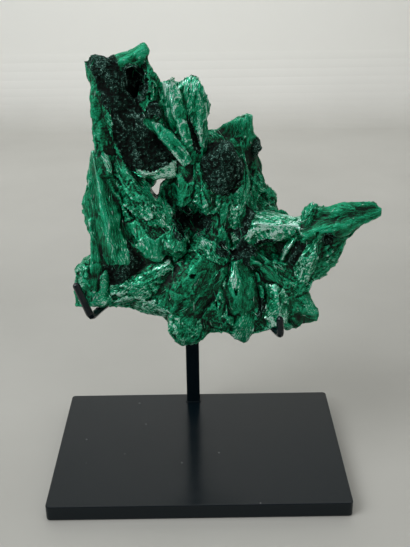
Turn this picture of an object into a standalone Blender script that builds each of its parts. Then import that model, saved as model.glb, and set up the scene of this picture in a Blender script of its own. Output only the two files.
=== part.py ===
"""A fibrous malachite specimen held by two wire claws on a black steel stand.

Metres, +Z up. The origin is the middle of the base plate's underside, +X is to the
viewer's right and the viewer stands at -Y. The stone is one solid: sheaves of fibres
and rounded crusts, fused together, with its pits cut out.
"""

import math
from typing import NamedTuple

import bpy
import bmesh
from mathutils import Vector, geometry, noise

MM = 0.001
GAP = 0.3 * MM

# The stand
PLATE_WIDTH = 120 * MM
PLATE_DEPTH = 80 * MM
PLATE_THICKNESS = 6.4 * MM
PLATE_CORNER = 1.6 * MM
PLATE_EDGE = 0.35 * MM

POST_SIDE = 6 * MM
POST_X = -2.6 * MM
POST_Y = 35.8 * MM
POST_TOP = 101 * MM
POST_EDGE = 0.4 * MM
EDGE_SEGMENTS = 2
CORNER_STEPS = 4

WIRE_DIAMETER = 2.8 * MM
WIRE_SIDES = 8
WIRE_STEPS = 3
WIRE_TIP_ANGLES = (30, 60)

# Centre lines of the bent wires, from the welded end to the free end
LEFT_CLAW = (
    (POST_X - POST_SIDE / 2 - GAP, POST_Y, 71 * MM),
    (POST_X - POST_SIDE / 2 - 3 * MM, POST_Y, 71 * MM),
    (-14 * MM, 31.5 * MM, 71.2 * MM),
    (-23 * MM, 20 * MM, 72 * MM),
    (-31.5 * MM, 6 * MM, 74.4 * MM),
    (-36.6 * MM, -7 * MM, 76.2 * MM),
    (-39 * MM, -14.4 * MM, 76.8 * MM),
    (-39.9 * MM, -17.4 * MM, 78.2 * MM),
    (-40.9 * MM, -18 * MM, 81.4 * MM),
    (-44.2 * MM, -17.6 * MM, 90.4 * MM),
)
RIGHT_CLAW = (
    (POST_X + POST_SIDE / 2 + GAP, POST_Y, 66 * MM),
    (POST_X + POST_SIDE / 2 + 3 * MM, POST_Y, 66 * MM),
    (9 * MM, 32 * MM, 66 * MM),
    (18 * MM, 21.5 * MM, 66 * MM),
    (25.5 * MM, 7 * MM, 66 * MM),
    (29.6 * MM, -6 * MM, 66.2 * MM),
    (31.8 * MM, -12.6 * MM, 66.6 * MM),
    (32.2 * MM, -15.2 * MM, 68.2 * MM),
    (31.8 * MM, -15.4 * MM, 74 * MM),
)
# The stone's features are placed as the viewer's eye sees them: x and z are read on the
# upright plane through the middle of the stand, and y is the feature's real depth.
EYE = Vector((2.95, -299.3, 221.2))

# Outline of the stone as the eye sees it, clockwise from the top left corner
OUTLINE = (
    (-34, 171), (-28, 169.5), (-26, 171), (-22, 172.5), (-19, 174.5), (-17, 175.5), (-15, 173),
    (-15.5, 170), (-16, 168.5), (-14, 167), (-13, 163), (-12, 161), (-10, 161.5), (-8, 162),
    (-5.5, 160), (-3.5, 162), (-1, 163), (2, 162), (3, 159), (4.5, 154), (5, 151), (4, 150),
    (5, 143), (7, 145), (10, 145), (15, 148.5), (17, 150.5), (20, 151), (22, 150), (22.3, 143),
    (24, 139), (23, 135), (25, 129), (28, 122), (30, 120), (32, 112), (37, 109), (40, 110),
    (41.5, 112), (43, 115), (46, 115.5), (48, 113.5), (57, 116), (63, 116.5), (69, 116),
    (70.5, 114), (70, 111), (66, 108), (59, 103), (59, 101), (56, 94), (54, 92), (53, 87),
    (51, 85), (45, 82), (44, 78), (46, 75), (49, 70), (50, 68), (49, 65), (43, 63.5), (40, 61),
    (36, 61), (28, 61.5), (23, 60), (21, 58), (19, 55.5), (16, 56.5), (13, 59), (10, 61),
    (5, 61), (4, 58.5), (1, 56), (-5, 54.5), (-9, 56.5), (-11, 63), (-13, 67), (-17, 69),
    (-21, 69), (-25, 71.5), (-27, 73.5), (-33, 73.5), (-38, 72.5), (-45, 73), (-48, 73),
    (-48, 88), (-47, 91), (-41, 95.5), (-39, 98), (-39.5, 105), (-41, 117), (-40.5, 122),
    (-38, 131), (-36, 134), (-35.5, 142), (-36.5, 146), (-35, 150), (-35.5, 160), (-38, 167),
)

# How far forward and back the mass reaches: x, z as seen, depth of its front, of its back
RELIEF = (
    (-34, 168, -4, 6), (-17, 174, -3, 3), (-22, 162, 3, 8), (-15, 160, 0, 6), (-31, 152, -5, 8),
    (-20, 146, -5, 10), (-10, 156, 0, 6), (-8, 142, -1, 10), (0, 158, 0, 5), (2, 146, 2, 10),
    (2, 134, 0, 14), (14, 147, 9, 15), (12, 130, -2, 18), (24, 132, 10, 19), (28, 115, 9, 20),
    (-36, 140, -2, 6), (-38, 120, -4, 8), (-28, 120, -4, 14), (-20, 131, -3, 14),
    (-13, 122, 2, 14), (-3, 120, -1, 20), (8, 115, -1, 21), (-2, 108, 3, 22), (18, 108, 1, 18),
    (-36, 100, -6, 8), (-28, 95, -6, 18), (-18, 98, -7, 22), (-8, 100, -6, 24),
    (5, 97, -4, 25), (12, 97, -1, 24), (20, 93, -4, 20), (30, 105, -1, 10), (30, 97, 2, 11),
    (42, 107, -4, 5), (45, 112, -5, 2), (56, 110, -6, -1), (68, 113, -6, -3), (40, 97, 0, 8),
    (47, 98, -4, 6), (54, 99, 1, 6), (52, 90, -2, 5), (44, 86, -4, 7), (34, 88, -4, 12),
    (46, 72, -6, 1), (40, 66, -6, 0), (34, 64, -12, -8), (33, 74, -9, 3), (26, 70, -7, 0),
    (19, 80, -9, 12), (19, 62, -9, -4), (8, 68, -10, -3), (8, 82, -9, 16), (-3, 62, -11, -5),
    (-6, 80, -11, 16), (-16, 72, -10, -2), (-25, 82, -9, 12), (-34, 80, -9, 6),
    (-39, 75, -13, -8), (-45, 80, -10, -2), (-44, 91, -7, 2),
)
RIM_ROUND = 7
RIM_THICKNESS = 1.4
CELL = 6
RELIEF_BLEND = 4
BOXINESS = 0.55

# Section places along a sheaf, and how much of its full section each has, drawing in at the tip
LONG_SHEAF = 19
LONG_ROWS = ((0.0, 0.9), (0.3, 1.0), (0.6, 1.0), (0.94, 0.95), (1.0, 0.7))
SHORT_ROWS = ((0.0, 0.9), (0.5, 1.0), (0.92, 0.92), (1.0, 0.66))
LONG_SIDES = 10
SHORT_SIDES = 8


class Sheaf(NamedTuple):
    """A bundle of fibres from root to tip, in millimetres and degrees."""

    root: tuple
    tip: tuple
    width: tuple
    depth: tuple
    turn: float = 0
    tilt: float = 0
    ragged: float = 0.1
    folds: float = 2


class Crust(NamedTuple):
    """A rounded, lumpy mass of velvet crust, in millimetres and degrees."""

    middle: tuple
    radii: tuple
    lean: float = 0


UPPER_LEFT = (
    # column of dark velvet up to the top left corner, and the green strip along its side
    Sheaf(
        (-15, 129, -1), (-32, 170.5, 0), (7.4, 7, 4.8), (6, 5, 4),
        turn=-6, tilt=4, ragged=0.03, folds=1,
    ),
    Sheaf((-32, 128, -1), (-34.6, 167, 0), (4, 3, 2.4), (6, 4.4, 3), turn=-42, ragged=0.04),
    # second horn and the frame of the dark hollow under it
    Sheaf((-30, 163, 2), (-16, 174, 0), (5, 3.8, 2.4), (4.4, 3.6, 2.4), turn=-10, tilt=30, ragged=0.05),
    Sheaf((-14.5, 152, 1), (-15.6, 172, 0), (2.6, 2.8, 1.8), (3.4, 3, 2), turn=28, ragged=0.1),
    Sheaf((-18, 145, -1), (-18.3, 158, -1), (2.6, 2.6, 2.2), (3, 2.4, 1.6), turn=-8, ragged=0.05),
    Crust((-14.3, 152, -1.5), (2.6, 2.4, 3)),
    # twin blades
    Sheaf(
        (-1, 132, -1), (-10.8, 162, -2), (2.8, 4, 3.8), (3.4, 3.4, 2.2),
        turn=-28, tilt=8, ragged=0.14,
    ),
    Sheaf((-3, 132, -4), (-15, 149.5, -4), (2, 2.8, 1.8), (3, 2.8, 1.8), turn=-34, tilt=12, ragged=0.1),
    Sheaf(
        (2.6, 131, 0), (0.2, 162.6, -1), (2.6, 4.2, 5.2), (3.4, 3.4, 2.4),
        turn=8, ragged=0.12, folds=3,
    ),
    Sheaf((-1, 130, 5), (-7, 156, 5), (8, 8, 7), (4, 3, 2), ragged=0.1),
)

UPPER_RIGHT = (
    # matt wedge behind, and the slab in shadow that runs down from it
    Sheaf((12, 130, 11), (15.5, 150.6, 11), (9, 8.6, 6.4), (5, 4, 3), tilt=14, ragged=0.14, folds=1),
    Sheaf((21, 106, 15), (21.6, 140, 15), (13, 8, 3), (5, 4.4, 3), turn=30, ragged=0.05, folds=3),
    Crust((22.4, 137, 12), (2, 2.4, 3.4)),
    # black sparkling crust with a green rim
    Crust((10.6, 130, -1), (8, 5, 9.6), lean=10),
    Sheaf((18, 116, 0), (19.2, 135.6, 2), (1.8, 2.2, 1.6), (4, 4, 2.6), turn=42, ragged=0.06),
    Sheaf((17, 124, 0), (16, 106, -2), (3, 3.8, 3.2), (3.4, 3.4, 2.4), turn=12, ragged=0.12),
    # velvet between the middle and the barrel
    Crust((19, 104, 1), (5.6, 4.6, 9)),
)

RIGHT_WING = (
    # silky barrel, knob and horn
    Sheaf(
        (15, 104.5, 2), (41.5, 106, -2), (5.4, 5.4, 4.4), (6, 5.6, 4.4),
        turn=6, tilt=26, ragged=0.03, folds=1,
    ),
    Sheaf((43, 101, -3), (45, 115.6, -3), (3.4, 3.2, 2.4), (4, 3.6, 2.6), ragged=0.03, folds=1),
    Sheaf((41, 104, -3), (70.4, 113.2, -5), (5, 5.8, 2.6), (4.6, 4, 2.4), tilt=8, ragged=0.02),
    Sheaf((42, 89, 3), (58, 101, 3), (6, 6, 3.4), (4, 3.4, 2.2), turn=16, tilt=-12, ragged=0.14),
    Sheaf((43, 85, -2), (54.5, 91, -1), (4.4, 4.6, 3.4), (3.6, 3, 2), turn=20, ragged=0.22),
    Sheaf((38, 76, -4), (48.4, 104, -4), (5, 4, 2.2), (5, 5, 3), turn=-16, tilt=12, ragged=0.06),
    Crust((41, 97.5, -1.5), (3.2, 3.4, 9.6), lean=24),
    Sheaf((31, 89, -1), (39.4, 103.5, -3), (1.4, 1.5, 1), (3.4, 3.4, 2.4), turn=-30, ragged=0.05),
    # green shoulder under the dark hollow, with its dark leaf
    Sheaf((22, 93, -1), (42, 81, -5), (4, 6, 5), (5, 5, 3.6), turn=10, tilt=18, ragged=0.1),
    Sheaf((22, 92, -4), (34, 81, -7.5), (1.6, 3, 1.4), (3, 3, 2), turn=-10, tilt=-6, ragged=0.05),
)

LOWER_RIGHT = (
    # star tip with its lower half in shadow
    Sheaf((31, 80, -4), (50, 67, -6), (4, 6.4, 2.2), (5, 4.4, 2), turn=14, tilt=12, ragged=0.04),
    Sheaf((34, 87, -3), (46, 78.6, -4), (4, 5, 2.4), (4, 3.6, 2), turn=20, ragged=0.1),
    Sheaf((32, 77, -4), (41.5, 61.6, -5), (4, 6, 5.4), (4.4, 4, 2.2), turn=10, tilt=-18, ragged=0.1),
    # bright patch over the right claw
    Sheaf(
        (30, 82, -6), (33, 64, -10), (3.6, 4.8, 4.6), (4.6, 4.4, 2.2),
        turn=-8, tilt=14, ragged=0.08, folds=3,
    ),
    Sheaf((22, 81, -6), (26, 60.6, -7), (3, 4, 4), (3.6, 3.4, 2), turn=-8, ragged=0.1),
    # silky middle and the second hanging lobe
    Sheaf(
        (14.6, 93, -6), (18.4, 69, -10), (3.4, 6.4, 7.4), (5, 5, 3.4),
        turn=4, tilt=10, ragged=0.12, folds=3,
    ),
    Sheaf(
        (20, 78, -7), (17.8, 55.4, -8), (3.4, 5, 5), (4, 4, 2.2),
        turn=8, tilt=10, ragged=0.12, folds=3,
    ),
    Sheaf(
        (11, 93, -4), (25, 92, -6), (2.4, 3, 1.2), (3.4, 3, 1.8),
        turn=4, tilt=30, ragged=0.06, folds=1,
    ),
    Sheaf(
        (14, 91, -8), (14.6, 80.6, -12), (1.2, 1.9, 1.4), (2.4, 2.4, 1.6),
        turn=-14, ragged=0.05, folds=1,
    ),
)

LOWER_MIDDLE = (
    # broad hatched face, dark leaf beside it, and the lobes that hang below
    Sheaf((4, 93, -7), (-8, 68, -11), (6, 10, 9.6), (7, 7, 4), turn=-8, tilt=-4, ragged=0.1, folds=3),
    Sheaf((10.6, 92, -6), (4, 75, -12), (2, 3.4, 2.2), (3, 3, 2), turn=-36, ragged=0.04, folds=1),
    Sheaf((9, 90, -6), (7.4, 61, -10), (4, 6, 6.4), (5, 5, 2.6), turn=-8, tilt=-4, ragged=0.1),
    Sheaf((-5, 80, -8), (-3, 54.6, -10), (5, 7.6, 7), (5, 5, 2.6), turn=4, tilt=4, ragged=0.1, folds=3),
    Sheaf((0, 76, -9), (-26, 71, -7), (4.4, 4.6, 2.2), (5, 4.6, 3), turn=-6, tilt=30, ragged=0.06),
)

LEFT = (
    # long ridge above the left claw, bright sliver and the lobe in the claw
    Sheaf((-9, 90, -7), (-38.5, 75, -6), (4, 6, 5), (6, 6, 4.6), turn=-6, tilt=24, ragged=0.06),
    Sheaf(
        (-36.4, 74.5, -10), (-35.2, 90, -10), (1.6, 1.8, 0.9), (2.8, 2.4, 1.4),
        turn=-20, ragged=0.02, folds=1,
    ),
    Sheaf((-40, 92, -3), (-44.4, 73, -3), (5, 5, 4.6), (6.4, 6, 5), turn=-14, tilt=6, ragged=0.1),
    Sheaf(
        (-37, 89, -4), (-46, 91.6, -4), (4, 3.8, 2.6), (4, 3.6, 2.6),
        turn=-10, tilt=34, ragged=0.05, folds=1,
    ),
    # great fan and its narrow tail
    Sheaf(
        (-36.6, 136, 0), (-33, 95, -6), (2, 6.2, 8.4), (5, 5.4, 4.6),
        turn=-20, tilt=4, ragged=0.08, folds=3,
    ),
    Sheaf(
        (-37.6, 106, -5), (-37.6, 74.5, -7), (3, 2.8, 3.2), (4.6, 4.6, 3.6),
        turn=-24, ragged=0.03, folds=1,
    ),
    Crust((-28, 91, -5), (8, 5.4, 11.6), lean=6),
    Sheaf(
        (-35.4, 140, -3), (-30.6, 127.5, -6), (0.9, 1.6, 0.9), (1.6, 1.6, 1),
        turn=-20, ragged=0.02, folds=1,
    ),
    # speckled ridge that runs down to the middle
    Sheaf(
        (-30, 140, 0), (-11.5, 104, -7), (5, 6.4, 5.4), (6, 6, 4),
        turn=6, tilt=10, ragged=0.08, folds=3,
    ),
    Sheaf((-7, 129.5, -2), (-20.5, 128, -4), (2.4, 3, 1.8), (3, 3, 2), tilt=36, ragged=0.05, folds=1),
    # smooth leaf and lobed dome
    Sheaf(
        (-21.5, 110, -5), (-13.6, 90.6, -10), (5, 6, 3.4), (4, 4.4, 3),
        turn=4, tilt=6, ragged=0.06, folds=1,
    ),
    Crust((-9, 102, -5), (7, 6, 6.8)),
)

MIDDLE = (
    Sheaf((-2.5, 132, 0), (-5.4, 112.6, -4), (2.6, 4.2, 3.4), (3.4, 3.4, 2), turn=-14, ragged=0.1),
    Sheaf((2.5, 132, 0), (5, 111, -4), (2.6, 4.8, 4.6), (3.6, 3.6, 2), turn=12, ragged=0.12, folds=3),
    Sheaf((10, 120, 0), (8, 99.6, -4), (4, 5.4, 4.8), (4.4, 4.2, 2.4), turn=14, ragged=0.14),
    Crust((5, 96, -4), (7.6, 6, 7)),
    Crust((17.5, 93, -3), (5.4, 5, 4.6)),
)

# The far side, turned away from the viewer
BACK = (
    Sheaf(
        (-14, 114, 15), (-33, 82, 12), (5, 11, 10), (6, 5.4, 3),
        turn=168, tilt=8, ragged=0.1, folds=3,
    ),
    Sheaf((-6, 120, 18), (-14, 80, 20), (5, 10, 9.6), (6, 5.4, 3.2), turn=180, ragged=0.12, folds=3),
    Sheaf(
        (6, 118, 18), (14, 80, 20), (5, 10.6, 10), (6, 5.4, 3.2),
        turn=186, tilt=6, ragged=0.12, folds=3,
    ),
    Sheaf((12, 108, 14), (41, 90, 8), (6, 9, 7.6), (6, 5, 3.4), turn=198, tilt=10, ragged=0.1),
    Sheaf((-14, 124, 12), (-35, 110, 7), (5, 8, 6.4), (5, 4.4, 2.8), turn=160, tilt=10, ragged=0.1),
    Sheaf((-14, 122, 12), (-29, 158, 7), (7, 7.4, 5), (5, 4.4, 2.8), turn=174, tilt=14, ragged=0.1),
    Sheaf(
        (5, 120, 15), (-4, 152, 8), (7, 7.4, 6), (5, 4, 2.4),
        turn=182, tilt=20, ragged=0.14, folds=3,
    ),
    Sheaf((42, 102, 1), (65, 111, -3), (5, 4.4, 2.4), (3.6, 3, 2), turn=180, tilt=10, ragged=0.06),
    Crust((0, 99, 20), (9, 6, 11), lean=10),
    Crust((-22, 134, 11), (6, 5, 10), lean=-24),
    Crust((24, 114, 19), (7, 5, 9)),
    Crust((28, 82, 9), (10, 6, 8)),
)

# Pits and the slit that light shows through, cut along the line of sight
PITS = (
    Crust((-20.4, 161.5, 0), (3.6, 6, 5.4), lean=-14),
    Crust((-2, 109, -9), (5.6, 9, 4.8), lean=14),
    Crust((11.4, 98, -9), (2.4, 5, 3.2)),
    Crust((-12.8, 78.4, -17), (1.8, 4, 2.4), lean=20),
    Crust((29, 97.6, -6), (4.8, 5, 2.4)),
    Crust((53, 100.4, -4), (4.6, 4, 2.6), lean=60),
    Crust((25.8, 70.5, -12), (1.4, 4.4, 5)),
    Crust((0.6, 142, -4), (1.2, 3.4, 6.4), lean=-12),
)
SLIT = (
    (-8.6, 127.2), (-10.5, 125.3), (-12.5, 123.4), (-13.5, 121), (-14.1, 118.9),
    (-15.2, 119.6), (-16.2, 122.3), (-14.1, 123.5), (-13.4, 125.6), (-10.4, 126.1),
)
SLIT_NEAR = -40
SLIT_FAR = 60

FOLD_HEIGHT = 0.22
TIP_TEETH = 5
END_BULGE = 0.4
WEATHERING = ((20 * MM, 1.3 * MM), (8 * MM, 0.8 * MM))
FIELD_STARTS = (Vector((0.0, 0.0, 0.0)), Vector((9.3, 4.1, 7.7)), Vector((2.6, 8.8, 5.2)))
CRUST_LUMPS = 0.09
LUMP_WAVES = (4, 3)
WELD = 0.02 * MM
KEPT_FACES = 0.72
LARGE_CRUST = 5.5


def seen(x, z, y):
    """Place, in metres, of a feature that the eye sees at x, z and that lies at depth y."""
    reach = (y - EYE.y) / -EYE.y
    return Vector((EYE.x + reach * (x - EYE.x), y, EYE.z + reach * (z - EYE.z))) * MM


def facing(turn, tilt):
    """Unit vector that points at the viewer, turned to the right and tipped up, in degrees."""
    turn, tilt = math.radians(turn), math.radians(tilt)
    return Vector((math.sin(turn) * math.cos(tilt), -math.cos(turn) * math.cos(tilt), math.sin(tilt)))


def through(values, u):
    """Value at u, from 0 to 1, on the straight runs between three evenly spaced values."""
    first, middle, last = values
    return first + (middle - first) * 2 * u if u < 0.5 else middle + (last - middle) * (2 * u - 1)


def pleat(value):
    """A zigzag between -1 and 1 that repeats every 2."""
    return 4 * abs(value / 2 - math.floor(value / 2 + 0.5)) - 1


def boxed(value):
    """Pushes a sine or cosine towards the corners of a box."""
    return math.copysign(abs(value) ** BOXINESS, value)


def weathered(point):
    """The point moved a little by a smooth field, so that no face of the stone stays true."""
    for grain, depth in WEATHERING:
        place = point / grain
        point = point + depth * Vector([noise.noise(place + start) for start in FIELD_STARTS])
    return point


def material(name, colour, roughness, metallic=0.0):
    """A Principled material."""
    made = bpy.data.materials.new(name)
    made.use_nodes = True
    shader = made.node_tree.nodes["Principled BSDF"]
    shader.inputs["Base Color"].default_value = (*colour, 1)
    shader.inputs["Roughness"].default_value = roughness
    shader.inputs["Metallic"].default_value = metallic
    return made


def add_object(name, mesh, finish=None):
    """An object in the scene that holds this mesh."""
    made = bpy.data.objects.new(name, mesh)
    bpy.context.scene.collection.objects.link(made)
    if finish:
        mesh.materials.append(finish)
    return made


def mesh_from(name, shape):
    """The mesh of a bmesh whose faces are first turned outwards."""
    bmesh.ops.recalc_face_normals(shape, faces=shape.faces)
    mesh = bpy.data.meshes.new(name)
    shape.to_mesh(mesh)
    shape.free()
    return mesh


def skin_rings(shape, rings, near, far):
    """Closes a stack of rings of vertices with side faces and a fan of faces at each end."""
    count = len(rings[0])
    for low, high in zip(rings, rings[1:]):
        for i in range(count):
            j = (i + 1) % count
            shape.faces.new((low[i], low[j], high[j], high[i]))
    for ring, end in ((rings[0], near), (rings[-1], far)):
        for i in range(count):
            shape.faces.new((ring[i], ring[(i + 1) % count], end))


def sheaf_mesh(name, sheaf):
    """A fan of fibres: lens-shaped sections from root to tip, folded and broken off unevenly."""
    root, tip = (seen(x, z, y) for x, z, y in (sheaf.root, sheaf.tip))
    along = tip - root
    grain = along.normalized()
    front = facing(sheaf.turn, sheaf.tilt)
    front = (front - grain * front.dot(grain)).normalized()
    across = grain.cross(front)
    phase = sum(sheaf.root) + sum(sheaf.tip)
    long = along.length > LONG_SHEAF * MM
    sides = LONG_SIDES if long else SHORT_SIDES
    shape = bmesh.new()
    rings = []
    for u, draw_in in LONG_ROWS if long else SHORT_ROWS:
        width = through(sheaf.width, u) * draw_in * MM
        depth = through(sheaf.depth, u) * draw_in * MM
        ring = []
        for i in range(sides):
            angle = 2 * math.pi * (i + 0.5) / sides
            side, rise = boxed(math.cos(angle)), boxed(math.sin(angle))
            fold = 1 + FOLD_HEIGHT * pleat(sheaf.folds * side + phase)
            reach = u * (1 - sheaf.ragged * (1 + math.sin(TIP_TEETH * side + phase)) / 2)
            point = root + along * reach + across * width * side + front * depth * rise * fold
            ring.append(shape.verts.new(weathered(point)))
        rings.append(ring)
    near = shape.verts.new(weathered(root - grain * sheaf.depth[0] * END_BULGE * MM))
    far = shape.verts.new(weathered(tip - along * sheaf.ragged * END_BULGE))
    skin_rings(shape, rings, near, far)
    return mesh_from(name, shape)


def crust_mesh(name, crust):
    """A lumpy ellipsoid that leans to the right by crust.lean degrees."""
    shape = bmesh.new()
    detail = 3 if min(crust.radii) > LARGE_CRUST else 2
    bmesh.ops.create_icosphere(shape, subdivisions=detail, radius=1)
    middle = seen(*crust.middle)
    lean = math.radians(crust.lean)
    phase = sum(crust.middle)
    fast, slow = LUMP_WAVES
    for vertex in shape.verts:
        x, y, z = vertex.co
        wave = math.sin(fast * x + phase) + math.sin(fast * z + slow * y + phase)
        lump = 1 + CRUST_LUMPS * wave
        x, y, z = (side * radius * lump * MM for side, radius in zip((x, y, z), crust.radii))
        x, z = x * math.cos(lean) + z * math.sin(lean), z * math.cos(lean) - x * math.sin(lean)
        vertex.co = weathered(middle + Vector((x, y, z)))
    return mesh_from(name, shape)


def relief_at(x, z):
    """Depth of the front and of the back of the mass, blended from the nearest readings."""
    total = front = back = 0.0
    for at_x, at_z, at_front, at_back in RELIEF:
        weight = 1 / ((x - at_x) ** 2 + (z - at_z) ** 2 + RELIEF_BLEND) ** 2
        total += weight
        front += weight * at_front
        back += weight * at_back
    return front / total, back / total


def shore_distance(x, z):
    """Distance in millimetres from x, z to the outline."""
    place = Vector((x, z))
    nearest = math.inf
    for start, end in zip(OUTLINE, OUTLINE[1:] + OUTLINE[:1]):
        start, end = Vector(start), Vector(end)
        run = end - start
        share = min(max((place - start).dot(run) / run.length_squared, 0), 1)
        nearest = min(nearest, (start + run * share - place).length)
    return nearest


def mass_mesh(name):
    """The body of the stone: its outline filled, swelling to the relief in front and behind."""
    count = len(OUTLINE)
    places = [Vector(point) for point in OUTLINE]
    spans = [(math.floor(min(side) / CELL) * CELL, math.ceil(max(side))) for side in zip(*OUTLINE)]
    columns, rows = (range(start - CELL, stop + CELL, CELL) for start, stop in spans)
    for row, z in enumerate(rows):
        for x in columns:
            places.append(Vector((x + (CELL / 2 if row % 2 else 0), z)))
    rim = [(i, (i + 1) % count) for i in range(count)]
    flat, _, cells, *_ = geometry.delaunay_2d_cdt(places, rim, [], 1, 1e-4)
    shape = bmesh.new()
    front_side, back_side = [], []
    for x, z in flat:
        front, back = relief_at(x, z)
        near = min(shore_distance(x, z) / RIM_ROUND, 1)
        swell = math.sqrt(near * (2 - near))
        centre = (front + back) / 2
        half = RIM_THICKNESS / 2 + ((back - front - RIM_THICKNESS) / 2) * swell
        front_side.append(shape.verts.new(weathered(seen(x, z, centre - half))))
        back_side.append(shape.verts.new(weathered(seen(x, z, centre + half))))
    walls = set()
    for cell in cells:
        shape.faces.new([front_side[i] for i in cell])
        shape.faces.new([back_side[i] for i in reversed(cell)])
        for edge in zip(cell, cell[1:] + cell[:1]):
            walls ^= {tuple(sorted(edge))}
    for i, j in sorted(walls):
        shape.faces.new((front_side[i], front_side[j], back_side[j], back_side[i]))
    return mesh_from(name, shape)


def slit_mesh(name):
    """A bent slot along the line of sight, as a prism that runs right through the stone."""
    shape = bmesh.new()
    near, far = ([shape.verts.new(seen(x, z, y)) for x, z in SLIT] for y in (SLIT_NEAR, SLIT_FAR))
    for i in range(len(SLIT)):
        j = (i + 1) % len(SLIT)
        shape.faces.new((near[i], near[j], far[j], far[i]))
    shape.faces.new(near)
    shape.faces.new(far)
    return mesh_from(name, shape)


def smooth_path(points, steps):
    """Points along the curve that runs smoothly through the given ones."""
    points = [Vector(point) for point in points]
    padded = [2 * points[0] - points[1], *points, 2 * points[-1] - points[-2]]
    path = []
    for before, start, end, after in zip(padded, padded[1:], padded[2:], padded[3:]):
        for step in range(steps):
            t = step / steps
            path.append(
                0.5
                * (
                    2 * start
                    + (end - before) * t
                    + (2 * before - 5 * start + 4 * end - after) * t**2
                    + (3 * start - before - 3 * end + after) * t**3
                )
            )
    return path + [points[-1]]


def wire_mesh(name, points, diameter):
    """A round wire along a smooth path, with a flat first end and a rounded last one."""
    path = smooth_path(points, WIRE_STEPS)
    shape = bmesh.new()
    rings = []
    radius = diameter / 2
    heading = (path[1] - path[0]).normalized()
    normal = heading.orthogonal().normalized()
    tangents = [(b - a).normalized() for a, b in zip(path, path[1:])]
    tangents.append(tangents[-1])
    stations = [(point, tangent, 1.0) for point, tangent in zip(path, tangents)]
    tip, end = path[-1], tangents[-1]
    for angle in map(math.radians, WIRE_TIP_ANGLES):
        stations.append((tip + end * radius * math.sin(angle), end, math.cos(angle)))
    for point, tangent, share in stations:
        normal = (normal - tangent * normal.dot(tangent)).normalized()
        side = tangent.cross(normal)
        rings.append(
            [
                shape.verts.new(
                    point
                    + (normal * math.cos(angle) + side * math.sin(angle)) * radius * share
                )
                for angle in (2 * math.pi * i / WIRE_SIDES for i in range(WIRE_SIDES))
            ]
        )
    near = shape.verts.new(path[0])
    far = shape.verts.new(tip + end * radius)
    skin_rings(shape, rings, near, far)
    return mesh_from(name, shape)


def box_mesh(name, low, high):
    """A box between two corners."""
    shape = bmesh.new()
    bmesh.ops.create_cube(shape, size=1)
    for vertex in shape.verts:
        vertex.co = Vector([low[i] if vertex.co[i] < 0 else high[i] for i in range(3)])
    return mesh_from(name, shape)


def helper(name, mesh):
    """A shape that others are joined with or cut by, left out of the finished model."""
    made = add_object(name, mesh)
    made.hide_render = True
    made.display_type = "WIRE"
    return made


def boolean(target, operation, name, others):
    """Joins or cuts the target by a group of helpers."""
    group = bpy.data.collections.new(name)
    for other in others:
        group.objects.link(other)
    modifier = target.modifiers.new(name, "BOOLEAN")
    modifier.operation = operation
    modifier.operand_type = "COLLECTION"
    modifier.collection = group
    modifier.solver = "EXACT"


def outer_skin(mesh):
    """The mesh without the closed pockets that were left between the sheaves."""
    shape = bmesh.new()
    shape.from_mesh(mesh)
    waiting = set(shape.verts)
    shells = []
    while waiting:
        shell = {waiting.pop()}
        edge_of_shell = set(shell)
        while edge_of_shell:
            vertex = edge_of_shell.pop()
            beside = {edge.other_vert(vertex) for edge in vertex.link_edges} - shell
            shell |= beside
            edge_of_shell |= beside
        waiting -= shell
        shells.append(shell)
    outer = max(shells, key=len)
    for shell in shells:
        if shell is not outer:
            bmesh.ops.delete(shape, geom=list(shell), context="VERTS")
    bmesh.ops.remove_doubles(shape, verts=shape.verts, dist=WELD)
    bmesh.ops.triangulate(shape, faces=shape.faces)
    shape.to_mesh(mesh)
    shape.free()
    return mesh


def build_stone(finish):
    """The stone: sheaves and crusts joined in one solid, less its pits, slit and wire beds."""
    groups = (UPPER_LEFT, UPPER_RIGHT, RIGHT_WING, LOWER_RIGHT, LOWER_MIDDLE, LEFT, MIDDLE, BACK)
    stone = add_object("malachite", mass_mesh("malachite"), finish)
    grown = []
    for group in groups:
        for form in group:
            name = f"form_{len(grown):02d}"
            make = sheaf_mesh if isinstance(form, Sheaf) else crust_mesh
            grown.append(helper(name, make(name, form)))
    boolean(stone, "UNION", "growth", grown)
    cutters = [helper(f"pit_{i}", crust_mesh(f"pit_{i}", pit)) for i, pit in enumerate(PITS)]
    cutters.append(helper("slit", slit_mesh("slit")))
    for name, path in (("left_bed", LEFT_CLAW), ("right_bed", RIGHT_CLAW)):
        cutters.append(helper(name, wire_mesh(name, path, WIRE_DIAMETER + 2 * GAP)))
    low, high = post_corners(GAP)
    cutters.append(helper("post_bed", box_mesh("post_bed", low, high)))
    boolean(stone, "DIFFERENCE", "hollows", cutters)
    evaluated = stone.evaluated_get(bpy.context.evaluated_depsgraph_get())
    stone.modifiers.clear()
    stone.data = outer_skin(bpy.data.meshes.new_from_object(evaluated))
    for thing in grown + cutters:
        bpy.data.objects.remove(thing)
    thinned = stone.modifiers.new("thinned", "DECIMATE")
    thinned.ratio = KEPT_FACES
    return stone


def post_corners(clearance=0.0):
    """Lowest and highest corner of the post, moved out by a clearance."""
    half = POST_SIDE / 2
    low = Vector((POST_X - half, POST_Y - half, PLATE_THICKNESS + GAP))
    high = Vector((POST_X + half, POST_Y + half, POST_TOP))
    step = Vector((clearance, clearance, clearance))
    return low - step, high + step


def bevel(target, width):
    """Rounds the edges of a box."""
    modifier = target.modifiers.new("edges", "BEVEL")
    modifier.width = width
    modifier.segments = EDGE_SEGMENTS
    modifier.limit_method = "ANGLE"


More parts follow.
